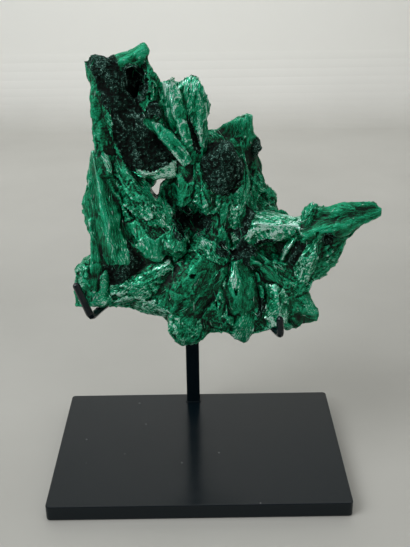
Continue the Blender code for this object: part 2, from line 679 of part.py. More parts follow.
def build_plate(finish):
    """The base plate: a rectangle with small round corners, its top and bottom edges broken."""
    shape = bmesh.new()
    half_x, half_y = PLATE_WIDTH / 2 - PLATE_CORNER, PLATE_DEPTH / 2 - PLATE_CORNER
    ring = []
    for quarter, (side_x, side_y) in enumerate(((1, 1), (-1, 1), (-1, -1), (1, -1))):
        middle = Vector((side_x * half_x, side_y * half_y, 0))
        for step in range(CORNER_STEPS + 1):
            angle = math.pi / 2 * (quarter + step / CORNER_STEPS)
            way = Vector((math.cos(angle), math.sin(angle), 0))
            ring.append(shape.verts.new(middle + way * PLATE_CORNER))
    face = shape.faces.new(ring)
    raised = bmesh.ops.extrude_face_region(shape, geom=[face])["geom"]
    top = [item for item in raised if isinstance(item, bmesh.types.BMVert)]
    bmesh.ops.translate(shape, verts=top, vec=(0, 0, PLATE_THICKNESS))
    plate = add_object("base_plate", mesh_from("base_plate", shape), finish)
    bevel(plate, PLATE_EDGE)
    return plate


def build_post(finish):
    """The square post."""
    post = add_object("post", box_mesh("post", *post_corners()), finish)
    bevel(post, POST_EDGE)
    return post


def main():
    """Clears the scene and builds the stone and its stand."""
    for thing in list(bpy.data.objects):
        bpy.data.objects.remove(thing)
    steel = material("black_painted_steel", (0.012, 0.012, 0.013), 0.45)
    green = material("malachite", (0.010, 0.140, 0.068), 0.42)
    build_stone(green)
    build_plate(steel)
    build_post(steel)
    for name, path in (("left_claw", LEFT_CLAW), ("right_claw", RIGHT_CLAW)):
        add_object(name, wire_mesh(name, path, WIRE_DIAMETER), steel)


main()
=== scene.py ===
"""Looks of a fibrous malachite specimen on its black steel stand.

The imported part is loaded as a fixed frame. The stone is grown here in place of its plain
solid: a body, fans of fibres and velvet crusts fuse into one skin, which is pitted, split
into facets and combed, and loose threads of fibre lie on it. The stand keeps its solids and
gets its powder coat and its weld beads. Lengths are in millimetres until a mesh is made.
"""

import logging
import math
from dataclasses import dataclass
from enum import Enum, IntEnum

import bmesh
import bpy
import numpy as np
from mathutils import Matrix, Vector, bvhtree, geometry, kdtree, noise


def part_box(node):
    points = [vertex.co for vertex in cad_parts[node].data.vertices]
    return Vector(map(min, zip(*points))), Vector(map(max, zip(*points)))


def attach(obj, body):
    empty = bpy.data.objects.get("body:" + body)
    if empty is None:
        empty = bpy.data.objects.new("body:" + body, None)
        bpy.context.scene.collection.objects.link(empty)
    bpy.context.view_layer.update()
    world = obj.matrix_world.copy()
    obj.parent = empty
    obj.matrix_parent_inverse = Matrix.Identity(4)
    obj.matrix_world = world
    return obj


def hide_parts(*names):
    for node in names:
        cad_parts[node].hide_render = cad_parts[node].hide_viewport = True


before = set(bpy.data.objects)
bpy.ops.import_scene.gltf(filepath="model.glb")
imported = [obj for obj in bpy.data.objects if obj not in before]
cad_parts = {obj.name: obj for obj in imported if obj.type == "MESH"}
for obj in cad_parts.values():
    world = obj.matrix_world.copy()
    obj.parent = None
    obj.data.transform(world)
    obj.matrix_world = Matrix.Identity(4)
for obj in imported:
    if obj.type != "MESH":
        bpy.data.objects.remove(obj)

MM = 0.001
TINY = 1e-9
LOG = logging.getLogger("specimen")
Triple = tuple[float, float, float]
Pair = tuple[float, float]

# The camera of the photograph, in the row frame; the stone's features are read through it
IMAGE_HEIGHT = 547
FOCAL_PIXELS = 837.0
EYE = np.array([2.95, -299.3, 221.2])
PITCH, YAW, ROLL = 24.171, 0.115, 0.8


class Finish(Enum):
    """How the fibres of a form lie: how much light they send back, and how crumbled the form is."""

    # The first number holds painted light and shade as well as lustre: forms that face the light get the
    # brightest finishes as painted highlights, and forms in shadow get SHADE as painted shade.
    GLARE = (1.15, 0.8)
    SPARKLE = (0.86, 1.0)
    SILK = (0.88, 0.4)
    SHEEN = (0.7, 0.0)
    SATIN = (0.66, 0.4)
    CRUMB = (0.6, 1.0)
    DULL = (0.44, 0.7)
    MATT = (0.46, 0.15)
    SHADE = (0.14, 0.4)
    VELVET = (0.0, 0.2)


GLARE, SPARKLE, SILK, SHEEN, SATIN, CRUMB, DULL, MATT, SHADE, VELVET = Finish


class Seed(IntEnum):
    """Which random field each pattern of the stone reads."""

    TURN = 3
    SHIFT_ALONG = 4
    SHIFT_ACROSS = 5
    THREADS = 5
    RIDGE = 9
    MARKS = 11
    TILT = 20
    TONE = 31
    FLASH = 32
    KNOBS = 50
    GRAINS = 51
    HEAVE = 52
    CRUMBLE = 53
    MOTTLE = 54
    COARSE = 60
    FINE = 70


@dataclass(frozen=True)
class Sheaf:
    """A fan of fibres from root to tip: x and z as the eye sees them, y the real depth."""

    root: Triple
    tip: Triple
    width: Triple
    depth: Triple
    turn: float = 0
    tilt: float = 0
    ragged: float = 0.1
    folds: float = 2
    finish: Finish = SATIN


@dataclass(frozen=True)
class Crust:
    """A rounded mass or, in the list of pits, a rounded hollow; it leans right of upright in degrees."""

    middle: Triple
    radii: Triple
    lean: float = 0
    finish: Finish = VELVET


@dataclass(frozen=True)
class Cleavage:
    """Facets that the skin breaks into, and how they shine."""

    count: int
    stretch: float
    flatness: float
    slope: float
    ledge: float
    tone: float
    # How much painted glare a facet that flashes gets, as if it caught the light
    flash: float


BROAD = Cleavage(650, 1.8, 0.6, 0.14, 0.5, 0.35, 0.15)
SMALL = Cleavage(5000, 2.2, 0.4, 0.3, 0.34, 0.3, 0.25)


@dataclass
class Patch:
    """Part of a mesh: points in millimetres, faces of equal corners, and what the shaders read."""

    points: np.ndarray
    faces: np.ndarray
    grain: np.ndarray
    # Lustre of each point, with each form's painted light or shade in it
    lustre_and_painted_light: np.ndarray
    crumb: np.ndarray
    # How deep in a crease each point sits, which the shaders turn into painted shade in creases and painted
    # glints on ridges
    hollow: np.ndarray
    slot: int | np.ndarray = 0


def colour(code: str) -> tuple[float, float, float, float]:
    """Turns an sRGB hex colour into linear values.

    Args:
        code: The colour as #rrggbb.

    Returns:
        Linear red, green, blue and an alpha of 1.
    """
    parts = [int(code[i : i + 2], 16) / 255 for i in (1, 3, 5)]
    linear = [c / 12.92 if c <= 0.04045 else ((c + 0.055) / 1.055) ** 2.4 for c in parts]
    return (*linear, 1.0)


def add_object(name: str, data: bpy.types.ID) -> bpy.types.Object:
    """Puts a mesh, a light or a camera into the scene.

    Args:
        name: The object's name.
        data: What it shows.

    Returns:
        The object.
    """
    made = bpy.data.objects.new(name, data)
    bpy.context.scene.collection.objects.link(made)
    return made


def scatter(*cells: np.ndarray | float) -> np.ndarray:
    """Repeatable numbers from 0 to 1, one for each set of whole cell numbers.

    Args:
        cells: Whole numbers, or arrays of them that broadcast together.

    Returns:
        An array of numbers from 0 to 1.
    """
    # The constants are those of the splitmix64 mixer
    mixed = np.uint64(0x9E3779B97F4A7C15)
    for cell in cells:
        mixed = mixed ^ np.asarray(np.floor(cell), np.int64).astype(np.uint64)
        mixed = (mixed ^ (mixed >> np.uint64(30))) * np.uint64(0xBF58476D1CE4E5B9)
        mixed = (mixed ^ (mixed >> np.uint64(27))) * np.uint64(0x94D049BB133111EB)
        mixed = mixed ^ (mixed >> np.uint64(31))
    return (mixed >> np.uint64(11)).astype(float) / 2**53


def cloud(points: np.ndarray, seed: int) -> np.ndarray:
    """Smooth noise from -1 to 1, with one bump in each unit cell.

    Args:
        points: Places as an (n, 3) array.
        seed: Picks one of many fields.

    Returns:
        One value for each place.
    """
    base = np.floor(points)
    part = points - base
    part = part * part * (3 - 2 * part)
    total = np.zeros(points.shape[:-1])
    for corner in np.ndindex(2, 2, 2):
        share = np.prod(np.where(corner, part, 1 - part), axis=-1)
        total += share * scatter(*np.moveaxis(base + corner, -1, 0), seed)
    return 2 * total - 1


def laths(across: np.ndarray, along: np.ndarray, seed: int) -> np.ndarray:
    """Heights from 0 to 1 of side-by-side laths that break off in lengths of their own.

    Args:
        across: Place across the laths, in lath widths.
        along: Place along the laths, in lath lengths.
        seed: Picks one of many fields.

    Returns:
        One height for each place.
    """
    edge = 0.3
    cell = np.floor(across)
    side = np.clip((across - cell - 0.5) / edge + 0.5, 0, 1)
    heights = []
    for lath in (cell, cell + 1):
        place = along + 7 * scatter(lath, seed)
        length = np.floor(place)
        step = np.clip((place - length - 0.5) / (edge / 2) + 0.5, 0, 1)
        near, far = (scatter(lath, length + k, seed + 1) for k in (0, 1))
        heights.append(near * (1 - step) + far * step)
    return heights[0] * (1 - side) + heights[1] * side


def seen(place: Triple) -> np.ndarray:
    """Real place, in millimetres, of a feature that the eye sees at x, z and that lies at depth y.

    Args:
        place: x and z on the upright plane through the stand's middle, and the real y. Each may be
            a number or an array.

    Returns:
        The real x, y and z.
    """
    x, z, y = place
    reach = (y - EYE[1]) / -EYE[1]
    return np.array([EYE[0] + reach * (x - EYE[0]), y, EYE[2] + reach * (z - EYE[2])])


def facing(turn: float, tilt: float) -> np.ndarray:
    """Unit vector towards the viewer, turned aside and tipped up.

    Args:
        turn: Degrees to the right.
        tilt: Degrees up.

    Returns:
        The vector.
    """
    turn, tilt = math.radians(turn), math.radians(tilt)
    flat = math.cos(tilt)
    return np.array([math.sin(turn) * flat, -math.cos(turn) * flat, math.sin(tilt)])


def unit(vector: np.ndarray) -> np.ndarray:
    """The vector at length 1."""
    return vector / np.linalg.norm(vector)


def units(vectors: np.ndarray) -> np.ndarray:
    """Rows of vectors, each at length 1 unless it has none."""
    return vectors / (np.linalg.norm(vectors, axis=1, keepdims=True) + TINY)


def pleat(value: np.ndarray) -> np.ndarray:
    """A zigzag between -1 and 1 that repeats every 2."""
    return 4 * np.abs(value / 2 - np.floor(value / 2 + 0.5)) - 1


def leaned(x: np.ndarray, z: np.ndarray, degrees: float) -> tuple[np.ndarray, np.ndarray]:
    """Turns places in the upright plane to the right.

    Args:
        x: Their places across.
        z: Their heights.
        degrees: How far to turn.

    Returns:
        The turned x and z.
    """
    turn = math.radians(degrees)
    return x * math.cos(turn) + z * math.sin(turn), z * math.cos(turn) - x * math.sin(turn)


def between(share: np.ndarray, sizes: Triple) -> np.ndarray:
    """Size at a share of a fan's length, from its sizes at root, middle and tip."""
    return np.interp(share, (0, 0.5, 1), sizes)


def grid_faces(rows: int, columns: int, start: int = 0) -> np.ndarray:
    """Quads of a grid of points kept row by row.

    Args:
        rows: Count of rows of points.
        columns: Count of points in a row.
        start: Number of the grid's first point.

    Returns:
        The corners of each quad.
    """
    first = np.arange(rows - 1)[:, None] * columns + np.arange(columns - 1) + start
    return np.stack([first, first + 1, first + columns + 1, first + columns], -1).reshape(-1, 4)


def rings(path: np.ndarray, out: np.ndarray, up: np.ndarray, radius: np.ndarray, sides: int) -> np.ndarray:
    """Points of a tube: a ring of them round each point of its path.

    Args:
        path: Points along its middle.
        out: A unit vector across the path at each.
        up: The other one across it.
        radius: The tube's radius at each.
        sides: Points in a ring.

    Returns:
        The points, ring by ring.
    """
    angles = np.arange(sides) * 2 * math.pi / sides
    ring = out[:, None] * np.cos(angles)[:, None] + up[:, None] * np.sin(angles)[:, None]
    return (path[:, None] + radius[:, None, None] * ring).reshape(-1, 3)


def rod_shape(node: str) -> tuple[bvhtree.BVHTree, np.ndarray]:
    """A rod of the stand, for measuring distances to it.

    Args:
        node: Its name.

    Returns:
        Its search tree and its corners, in millimetres.
    """
    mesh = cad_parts[node].data
    corners = [v.co / MM for v in mesh.vertices]
    tree = bvhtree.BVHTree.FromPolygons(corners, [p.vertices[:] for p in mesh.polygons])
    return tree, np.array(corners)


# The stone, form by form. Widths and depths are half sizes at root, middle and tip.
UPPER_LEFT = (
    Sheaf((-15, 129, -1), (-32, 170.5, 0), (7.4, 7, 4.8), (6, 5, 4), -6, 4, 0.03, 1, VELVET),
    Sheaf((-32, 128, -1), (-34.6, 167, 0), (4, 3, 2.4), (6, 4.4, 3), -42, 0, 0.04, 2, DULL),
    Sheaf((-30, 163, 2), (-16, 174, 0), (5, 3.8, 2.4), (4.4, 3.6, 2.4), -10, 30, 0.05, 2, MATT),
    Sheaf((-14.5, 152, 1), (-15.6, 172, 0), (2.6, 2.8, 1.8), (3.4, 3, 2), 28, 0, 0.1, 2, CRUMB),
    Sheaf((-18, 145, -1), (-18.3, 158, -1), (2.6, 2.6, 2.2), (3, 2.4, 1.6), -8, 0, 0.05),
    Crust((-14.3, 152, -1.5), (2.6, 2.4, 3)),
    Sheaf((-1, 132, -1), (-10.8, 163, -2), (2.8, 4, 4.6), (3.4, 3.4, 2.2), -28, 8, 0.18, 2, SILK),
    Sheaf((-3, 132, -4), (-15, 149.5, -4), (2, 2.8, 1.8), (3, 2.8, 1.8), -34, 12, 0.1, 2, SILK),
    Sheaf((2.6, 131, 0), (0.2, 163.4, -1), (2.6, 4.2, 5.6), (3.4, 3.4, 2.4), 8, 0, 0.2, 3, SILK),
    Sheaf((-1, 130, 5), (-7, 156, 5), (8, 8, 7), (4, 3, 2), 0, 0, 0.1, 2, DULL),
)

UPPER_RIGHT = (
    Sheaf((15.6, 132, 11), (13.6, 148, 11), (7, 7.6, 7.6), (4, 3.4, 2.4), 0, 14, 0.04, 1, MATT),
    Sheaf((21, 106, 15), (21.6, 140, 15), (13, 8, 3), (5, 4.4, 3), 30, 0, 0.05, 3, SHADE),
    Crust((22.4, 137, 12), (2, 2.4, 3.4)),
    Crust((10.6, 130, -1), (8, 5, 9.6), 10),
    Sheaf((18, 116, 0), (19.2, 135.6, 2), (1.8, 2.2, 1.6), (4, 4, 2.6), 42, 0, 0.06, 2, CRUMB),
    Sheaf((17, 124, 0), (16, 106, -2), (3, 3.8, 3.2), (3.4, 3.4, 2.4), 12, 0, 0.12, 2, CRUMB),
    Crust((19, 104, 1), (5.6, 4.6, 9)),
)

RIGHT_WING = (
    Sheaf((15, 104.5, 2), (41.5, 106, -2), (5.4, 5.4, 4.4), (6, 5.6, 4.4), 6, 26, 0.03, 1, GLARE),
    Sheaf((43, 101, -3), (45, 115.6, -3), (3.4, 3.2, 2.4), (4, 3.6, 2.6), 0, 0, 0.03, 1, CRUMB),
    Sheaf((41, 104, -3), (72.4, 113.6, -5), (5, 5.8, 3), (4.6, 4, 2.6), 0, 8, 0.02, 2, MATT),
    Sheaf((42, 89, 3), (58, 101, 3), (6, 6, 3.4), (4, 3.4, 2.2), 16, -12, 0.14, 2, DULL),
    Sheaf((43, 85, -2), (54.5, 91, -1), (4.4, 4.6, 3.4), (3.6, 3, 2), 20, 0, 0.22, 2, CRUMB),
    Sheaf((38, 76, -4), (48.4, 104, -4), (5, 4, 2.2), (5, 5, 3), -16, 12, 0.06, 2, SPARKLE),
    Crust((41, 97.5, -1.5), (3.2, 3.4, 9.6), 24),
    Sheaf((31, 89, -1), (39.4, 103.5, -3), (1.4, 1.5, 1), (3.4, 3.4, 2.4), -30, 0, 0.05, 2, SILK),
    Sheaf((22, 93, -1), (42, 81, -5), (4, 6, 5), (5, 5, 3.6), 10, 18, 0.1, 2, CRUMB),
    Sheaf((22, 92, -4), (34, 81, -7.5), (1.6, 3, 1.4), (3, 3, 2), -10, -6, 0.05, 2, SHADE),
)

LOWER_RIGHT = (
    Sheaf((31, 80, -4), (50, 67, -6), (4, 6.4, 2.2), (5, 4.4, 2), 14, 12, 0.04, 2, SATIN),
    Sheaf((34, 87, -3), (46, 78.6, -4), (4, 5, 2.4), (4, 3.6, 2), 20, 0, 0.1, 2, CRUMB),
    Sheaf((32, 77, -4), (41.5, 61.6, -5), (4, 6, 5.4), (4.4, 4, 2.2), 10, -18, 0.1, 2, SHADE),
    Sheaf((30, 82, -6), (33, 64, -10), (3.6, 4.8, 4.6), (4.6, 4.4, 2.2), -8, 14, 0.08, 2, GLARE),
    Sheaf((22, 81, -6), (26, 60.6, -7), (3, 4, 4), (3.6, 3.4, 2), -8, 0, 0.1, 2, CRUMB),
    Sheaf((14.6, 93, -6), (18.4, 69, -10), (3.4, 6.4, 7.4), (5, 5, 3.4), 4, 10, 0.12, 1),
    Sheaf((20, 78, -7), (17.8, 55.4, -8), (3.4, 5, 5), (4, 4, 2.2), 8, 10, 0.12, 2, SILK),
    Sheaf((11, 93, -4), (25, 92, -6), (2.4, 3, 1.2), (3.4, 3, 1.8), 4, 30, 0.06, 1, SILK),
    Sheaf((14, 91, -8), (14.6, 80.6, -12), (1.2, 1.9, 1.4), (2.4, 2.4, 1.6), -14, 0, 0.05, 1, SILK),
)

LOWER_MIDDLE = (
    Sheaf((4, 93, -7), (-8, 68, -11), (6, 10, 9.6), (7, 7, 4), -8, -4, 0.1, 1, DULL),
    Sheaf((10.6, 92, -6), (4, 75, -12), (2, 3.4, 2.2), (3, 3, 2), -36, 0, 0.04, 1, SHADE),
    Sheaf((9, 90, -6), (7.4, 61, -10), (4, 6, 6.4), (5, 5, 2.6), -8, -4, 0.1, 2, CRUMB),
    Sheaf((-5, 80, -8), (-3, 53.6, -10), (5, 7.6, 7), (5, 5, 2.6), 4, 4, 0.22, 1, CRUMB),
    Sheaf((0, 76, -9), (-26, 71, -7), (4.4, 4.6, 2.2), (5, 4.6, 3), -6, 30, 0.06, 2, SPARKLE),
)

LEFT = (
    Sheaf((-9, 90, -7), (-38.5, 75, -6), (4, 6, 5), (6, 6, 4.6), -6, 24, 0.06, 1, SPARKLE),
    Sheaf((-36.4, 74.5, -10), (-35.2, 90, -10), (1.6, 1.8, 0.9), (2.8, 2.4, 1.4), -20, 0, 0.02, 1, SILK),
    Sheaf((-40, 92, -3), (-44.4, 73, -3), (5, 5, 4.6), (6.4, 6, 5), -14, 6, 0.1, 2, CRUMB),
    Sheaf((-37, 89, -4), (-46, 91.6, -4), (4, 3.8, 2.6), (4, 3.6, 2.6), -10, 34, 0.05, 1, SILK),
    Sheaf((-37, 137, 0), (-33.4, 92, -7), (1.6, 6.2, 8.6), (3, 4.6, 4.6), -16, 4, 0.05, 1, SHEEN),
    Sheaf((-38, 110, -4), (-37.6, 74.5, -7), (2.6, 2.6, 3.2), (4.4, 4.6, 3.6), -24, 0, 0.03, 1, SHEEN),
    Crust((-28, 91, -5), (8, 5.4, 11.6), 6),
    Sheaf((-35.4, 140, -3), (-30.6, 127.5, -6), (0.9, 1.6, 0.9), (1.6, 1.6, 1), -20, 0, 0.02, 1, SILK),
    Sheaf((-29.5, 134, 0), (-11.5, 104, -7), (2, 6, 5.4), (4, 6, 4), 6, 10, 0.08, 3, CRUMB),
    Sheaf((-7, 129.5, -2), (-20.5, 128, -4), (2.4, 3, 1.8), (3, 3, 2), 0, 36, 0.05, 1, GLARE),
    Sheaf((-21.5, 110, -5), (-13.6, 90.6, -10), (5, 6, 3.4), (4, 4.4, 3), 4, 6, 0.06, 1),
    Crust((-9, 102, -5), (7, 6, 6.8), 0, CRUMB),
)

MIDDLE = (
    Sheaf((-2.5, 132, 0), (-5.4, 112.6, -4), (2.6, 4.2, 3.4), (3.4, 3.4, 2), -14, 0, 0.1, 2, DULL),
    Sheaf((2.5, 132, 0), (5, 111, -4), (2.6, 4.8, 4.6), (3.6, 3.6, 2), 12, 0, 0.12, 3, CRUMB),
    Sheaf((10, 120, 0), (8, 99.6, -4), (4, 5.4, 4.8), (4.4, 4.2, 2.4), 14, 0, 0.14, 2, CRUMB),
    Crust((5, 96, -4), (7.6, 6, 7), 0, CRUMB),
    Crust((17.5, 93, -3), (5.4, 5, 4.6)),
)

BACK = (
    Sheaf((-14, 114, 15), (-33, 82, 12), (5, 11, 10), (6, 5.4, 3), 168, 8, 0.1, 3),
    Sheaf((-6, 120, 18), (-14, 80, 20), (5, 10, 9.6), (6, 5.4, 3.2), 180, 0, 0.12, 3, SILK),
    Sheaf((6, 118, 18), (14, 80, 20), (5, 10.6, 10), (6, 5.4, 3.2), 186, 6, 0.12, 3),
    Sheaf((12, 108, 14), (41, 90, 8), (6, 9, 7.6), (6, 5, 3.4), 198, 10, 0.1, 2, SILK),
    Sheaf((-14, 124, 12), (-35, 110, 7), (5, 8, 6.4), (5, 4.4, 2.8), 160, 10, 0.1),
    Sheaf((-14, 122, 12), (-29, 158, 7), (7, 7.4, 5), (5, 4.4, 2.8), 174, 14, 0.1),
    Sheaf((5, 120, 15), (-4, 152, 8), (7, 7.4, 6), (5, 4, 2.4), 182, 20, 0.14, 3, SILK),
    Sheaf((42, 102, 1), (65, 111, -3), (5, 4.4, 2.4), (3.6, 3, 2), 180, 10, 0.06),
    Crust((0, 99, 20), (9, 6, 11), 10),
    Crust((-22, 134, 11), (6, 5, 10), -24),
    Crust((24, 114, 19), (7, 5, 9)),
    Crust((28, 82, 9), (10, 6, 8)),
)

# Outline of the stone as the eye sees it, clockwise from the top left corner
OUTLINE = (
    (-34, 171), (-28, 169.5), (-26, 171), (-22, 172.5), (-19, 174.5), (-17, 175.5), (-15, 173),
    (-15.5, 170), (-16, 168.5), (-14, 167), (-13, 163), (-12, 161), (-10, 161.5), (-8, 162),
    (-5.5, 160), (-3.5, 162), (-1, 163), (2, 162), (3, 159), (4.5, 154), (5, 151), (4, 150),
    (5, 143), (7, 145), (10, 145), (15, 148.5), (17, 150.5), (20, 151), (22, 150), (22.3, 143),
    (24, 139), (23, 135), (25, 129), (28, 122), (30, 120), (32, 112), (37, 109), (40, 110),
    (41.5, 112), (43, 115), (46, 115.5), (48, 113.5), (57, 116), (63, 116.5), (69, 116),
    (70.5, 114), (70, 111), (66, 108), (59, 103), (59, 101), (56, 94), (54, 92), (53, 87),
    (51, 85), (45, 82), (44, 78), (46, 75), (49, 70), (50, 68), (49, 65), (43, 63.5), (40, 61),
    (36, 61), (28, 61.5), (23, 60), (21, 58), (19, 55.5), (16, 56.5), (13, 59), (10, 61),
    (5, 61), (4, 58.5), (1, 56), (-5, 54.5), (-9, 56.5), (-11, 63), (-13, 67), (-17, 69),
    (-21, 69), (-25, 71.5), (-27, 73.5), (-33, 73.5), (-38, 72.5), (-45, 73), (-48, 73),
    (-48, 88), (-47, 91), (-41, 95.5), (-39, 98), (-39.5, 105), (-41, 117), (-40.5, 122),
    (-38, 131), (-36, 134), (-35.5, 142), (-36.5, 146), (-35, 150), (-35.5, 160), (-38, 167),
)
SLIT = (
    (-8.6, 127.2), (-10.5, 125.3), (-12.5, 123.4), (-13.5, 121), (-14.1, 118.9),
    (-15.2, 119.6), (-16.2, 122.3), (-14.1, 123.5), (-13.4, 125.6), (-10.4, 126.1),
)

SLIT_REACH = (-40, 60)
RODS = ("post", "left_claw", "right_claw")

# Pits, cut after the forms have fused
PITS = (
    Crust((-20.4, 161.5, 0), (3.6, 6, 5.4), -14),
    Crust((-4.4, 108.4, -4), (3.4, 9, 4.6), 24),
    Crust((2, 107, -4), (3.8, 8, 2.8), -30),
    Crust((11.4, 98, -9), (2.4, 5, 3.2)),
    Crust((-12.8, 78.4, -17), (1.8, 4, 2.4), 20),
    Crust((29, 97.6, -6), (4.8, 5, 2.4)),
    Crust((53, 100.4, -4), (4.6, 4, 2.6), 60),
    Crust((25.8, 70.5, -12), (1.4, 4.4, 5)),
    Crust((0.6, 142, -4), (1.2, 3.4, 6.4), -12),
)

# How far forward and back the body reaches: x, z as seen, depth of its front, of its back
RELIEF = (
    (-34, 168, -4, 6), (-17, 174, -3, 3), (-22, 162, 3, 8), (-15, 160, 0, 6), (-31, 152, -5, 8),
    (-20, 146, -5, 10), (-10, 156, 0, 6), (-8, 142, -1, 10), (0, 158, 0, 5), (2, 146, 2, 10),
    (2, 134, 0, 14), (14, 147, 9, 15), (12, 130, -2, 18), (24, 132, 10, 19), (28, 115, 9, 20),
    (-36, 140, -2, 6), (-38, 120, -4, 8), (-28, 120, -4, 14), (-20, 131, -3, 14),
    (-13, 122, 2, 14), (-3, 120, -1, 20), (8, 115, -1, 21), (-2, 108, 3, 22), (18, 108, 1, 18),
    (-36, 100, -6, 8), (-28, 95, -6, 18), (-18, 98, -7, 22), (-8, 100, -6, 24),
    (5, 97, -4, 25), (12, 97, -1, 24), (20, 93, -4, 20), (30, 105, -1, 10), (30, 97, 2, 11),
    (42, 107, -4, 5), (45, 112, -5, 2), (56, 110, -6, -1), (68, 113, -6, -3), (40, 97, 0, 8),
    (47, 98, -4, 6), (54, 99, 1, 6), (52, 90, -2, 5), (44, 86, -4, 7), (34, 88, -4, 12),
    (46, 72, -6, 1), (40, 66, -6, 0), (34, 64, -12, -8), (33, 74, -9, 3), (26, 70, -7, 0),
    (19, 80, -9, 12), (19, 62, -9, -4), (8, 68, -10, -3), (8, 82, -9, 16), (-3, 62, -11, -5),
    (-6, 80, -11, 16), (-16, 72, -10, -2), (-25, 82, -9, 12), (-34, 80, -9, 6),
    (-39, 75, -13, -8), (-45, 80, -10, -2), (-44, 91, -7, 2),
)


@dataclass(frozen=True)
class FanShape:
    """How every fan is shaped. Lengths are in millimetres, the rest are shares of its size."""

    spacing: Pair = (0.7, 1.1)
    grid_limits: tuple[int, int] = (4, 64)
    lane_start: float = 50
    edge_apart: float = 20
    edge_waves: tuple[Pair, ...] = ((6, 0.22), (2.4, 0.12))
    draw_in_from: float = 0.6
    draw_in_width: float = 0.16
    draw_in_depth: float = 0.75
    ridge_shift: float = 1.1
    roof: float = 0.6
    slab: float = 0.5
    thinnest: float = 0.2
    lath_lengths: Pair = (17, 9)
    full_depth: float = 3.2
    fold_height: float = 0.14
    heave_cell: Pair = (8, 3)
    lath_steps: Pair = (0.2, 0.1)
    heave: Pair = (0.15, 0.55)
    roughness: float = 0.2
    velvet_heave: float = 0.9
    ragged_lath: float = 1.9
    corner_round: float = 0.08
    rear_share: float = 0.7
    rear_marks: float = 30
    mark_scatter: float = 100


@dataclass(frozen=True)
class SkinRelief:
    """Relief and tone of the skin. Cells are in millimetres, pairs a least and what crumbling adds."""

    lath_lengths: Pair = (13, 6)
    knob_cell: float = 1.4
    grain_cell: float = 0.9
    heave_cell: float = 6
    crumble_cell: float = 3
    mottle_cell: float = 9
    knob_middle: float = 0.6
    heave: Pair = (0.15, 0.25)
    crumble: float = 0.2
    combed: Triple = (0.14, 0.1, 0.12)
    crusty: Pair = (0.55, 0.3)
    broad_relief: Pair = (0.1, 0.9)
    broad_tone: Pair = (0.2, 0.8)
    mottle: float = 0.2
    hollow_rounds: tuple[int, int] = (5, 40)
    # How deep in a crease each point sits; the shaders darken deep places as painted shade and put painted
    # glints on ridges
    hollow: Triple = (0.5, 1.1, 0.22)
    most_lustre_and_painted_light: float = 1.2
    normal_rounds: int = 2
    # Facets whose draw is above this flash with painted glare
    painted_flash_from: float = 0.88


@dataclass(frozen=True)
class ThreadShape:
    """Loose threads of fibre. Lengths are in millimetres.

    Real threads are a tenth as thick, too fine to show, so fewer and thicker ones are drawn.
    """

    count: int = 1800
    on_velvet: float = 0.02
    joints: int = 8
    sides: int = 4
    length: Pair = (1.5, 6.0)
    radius: Pair = (0.09, 0.18)
    # Lustre of the threads, high enough that they carry painted glints
    lustre_and_painted_light: Pair = (0.4, 1.1)
    stray: float = 0.25
    bend: float = 0.03
    lift: float = 0.6
    blunt_end: float = 0.12
    mark_step: float = 0.6
    mark_gap: float = 1.7
    # A low hollow, so that the threads get dense painted glints and little painted shade
    hollow: float = 0.3


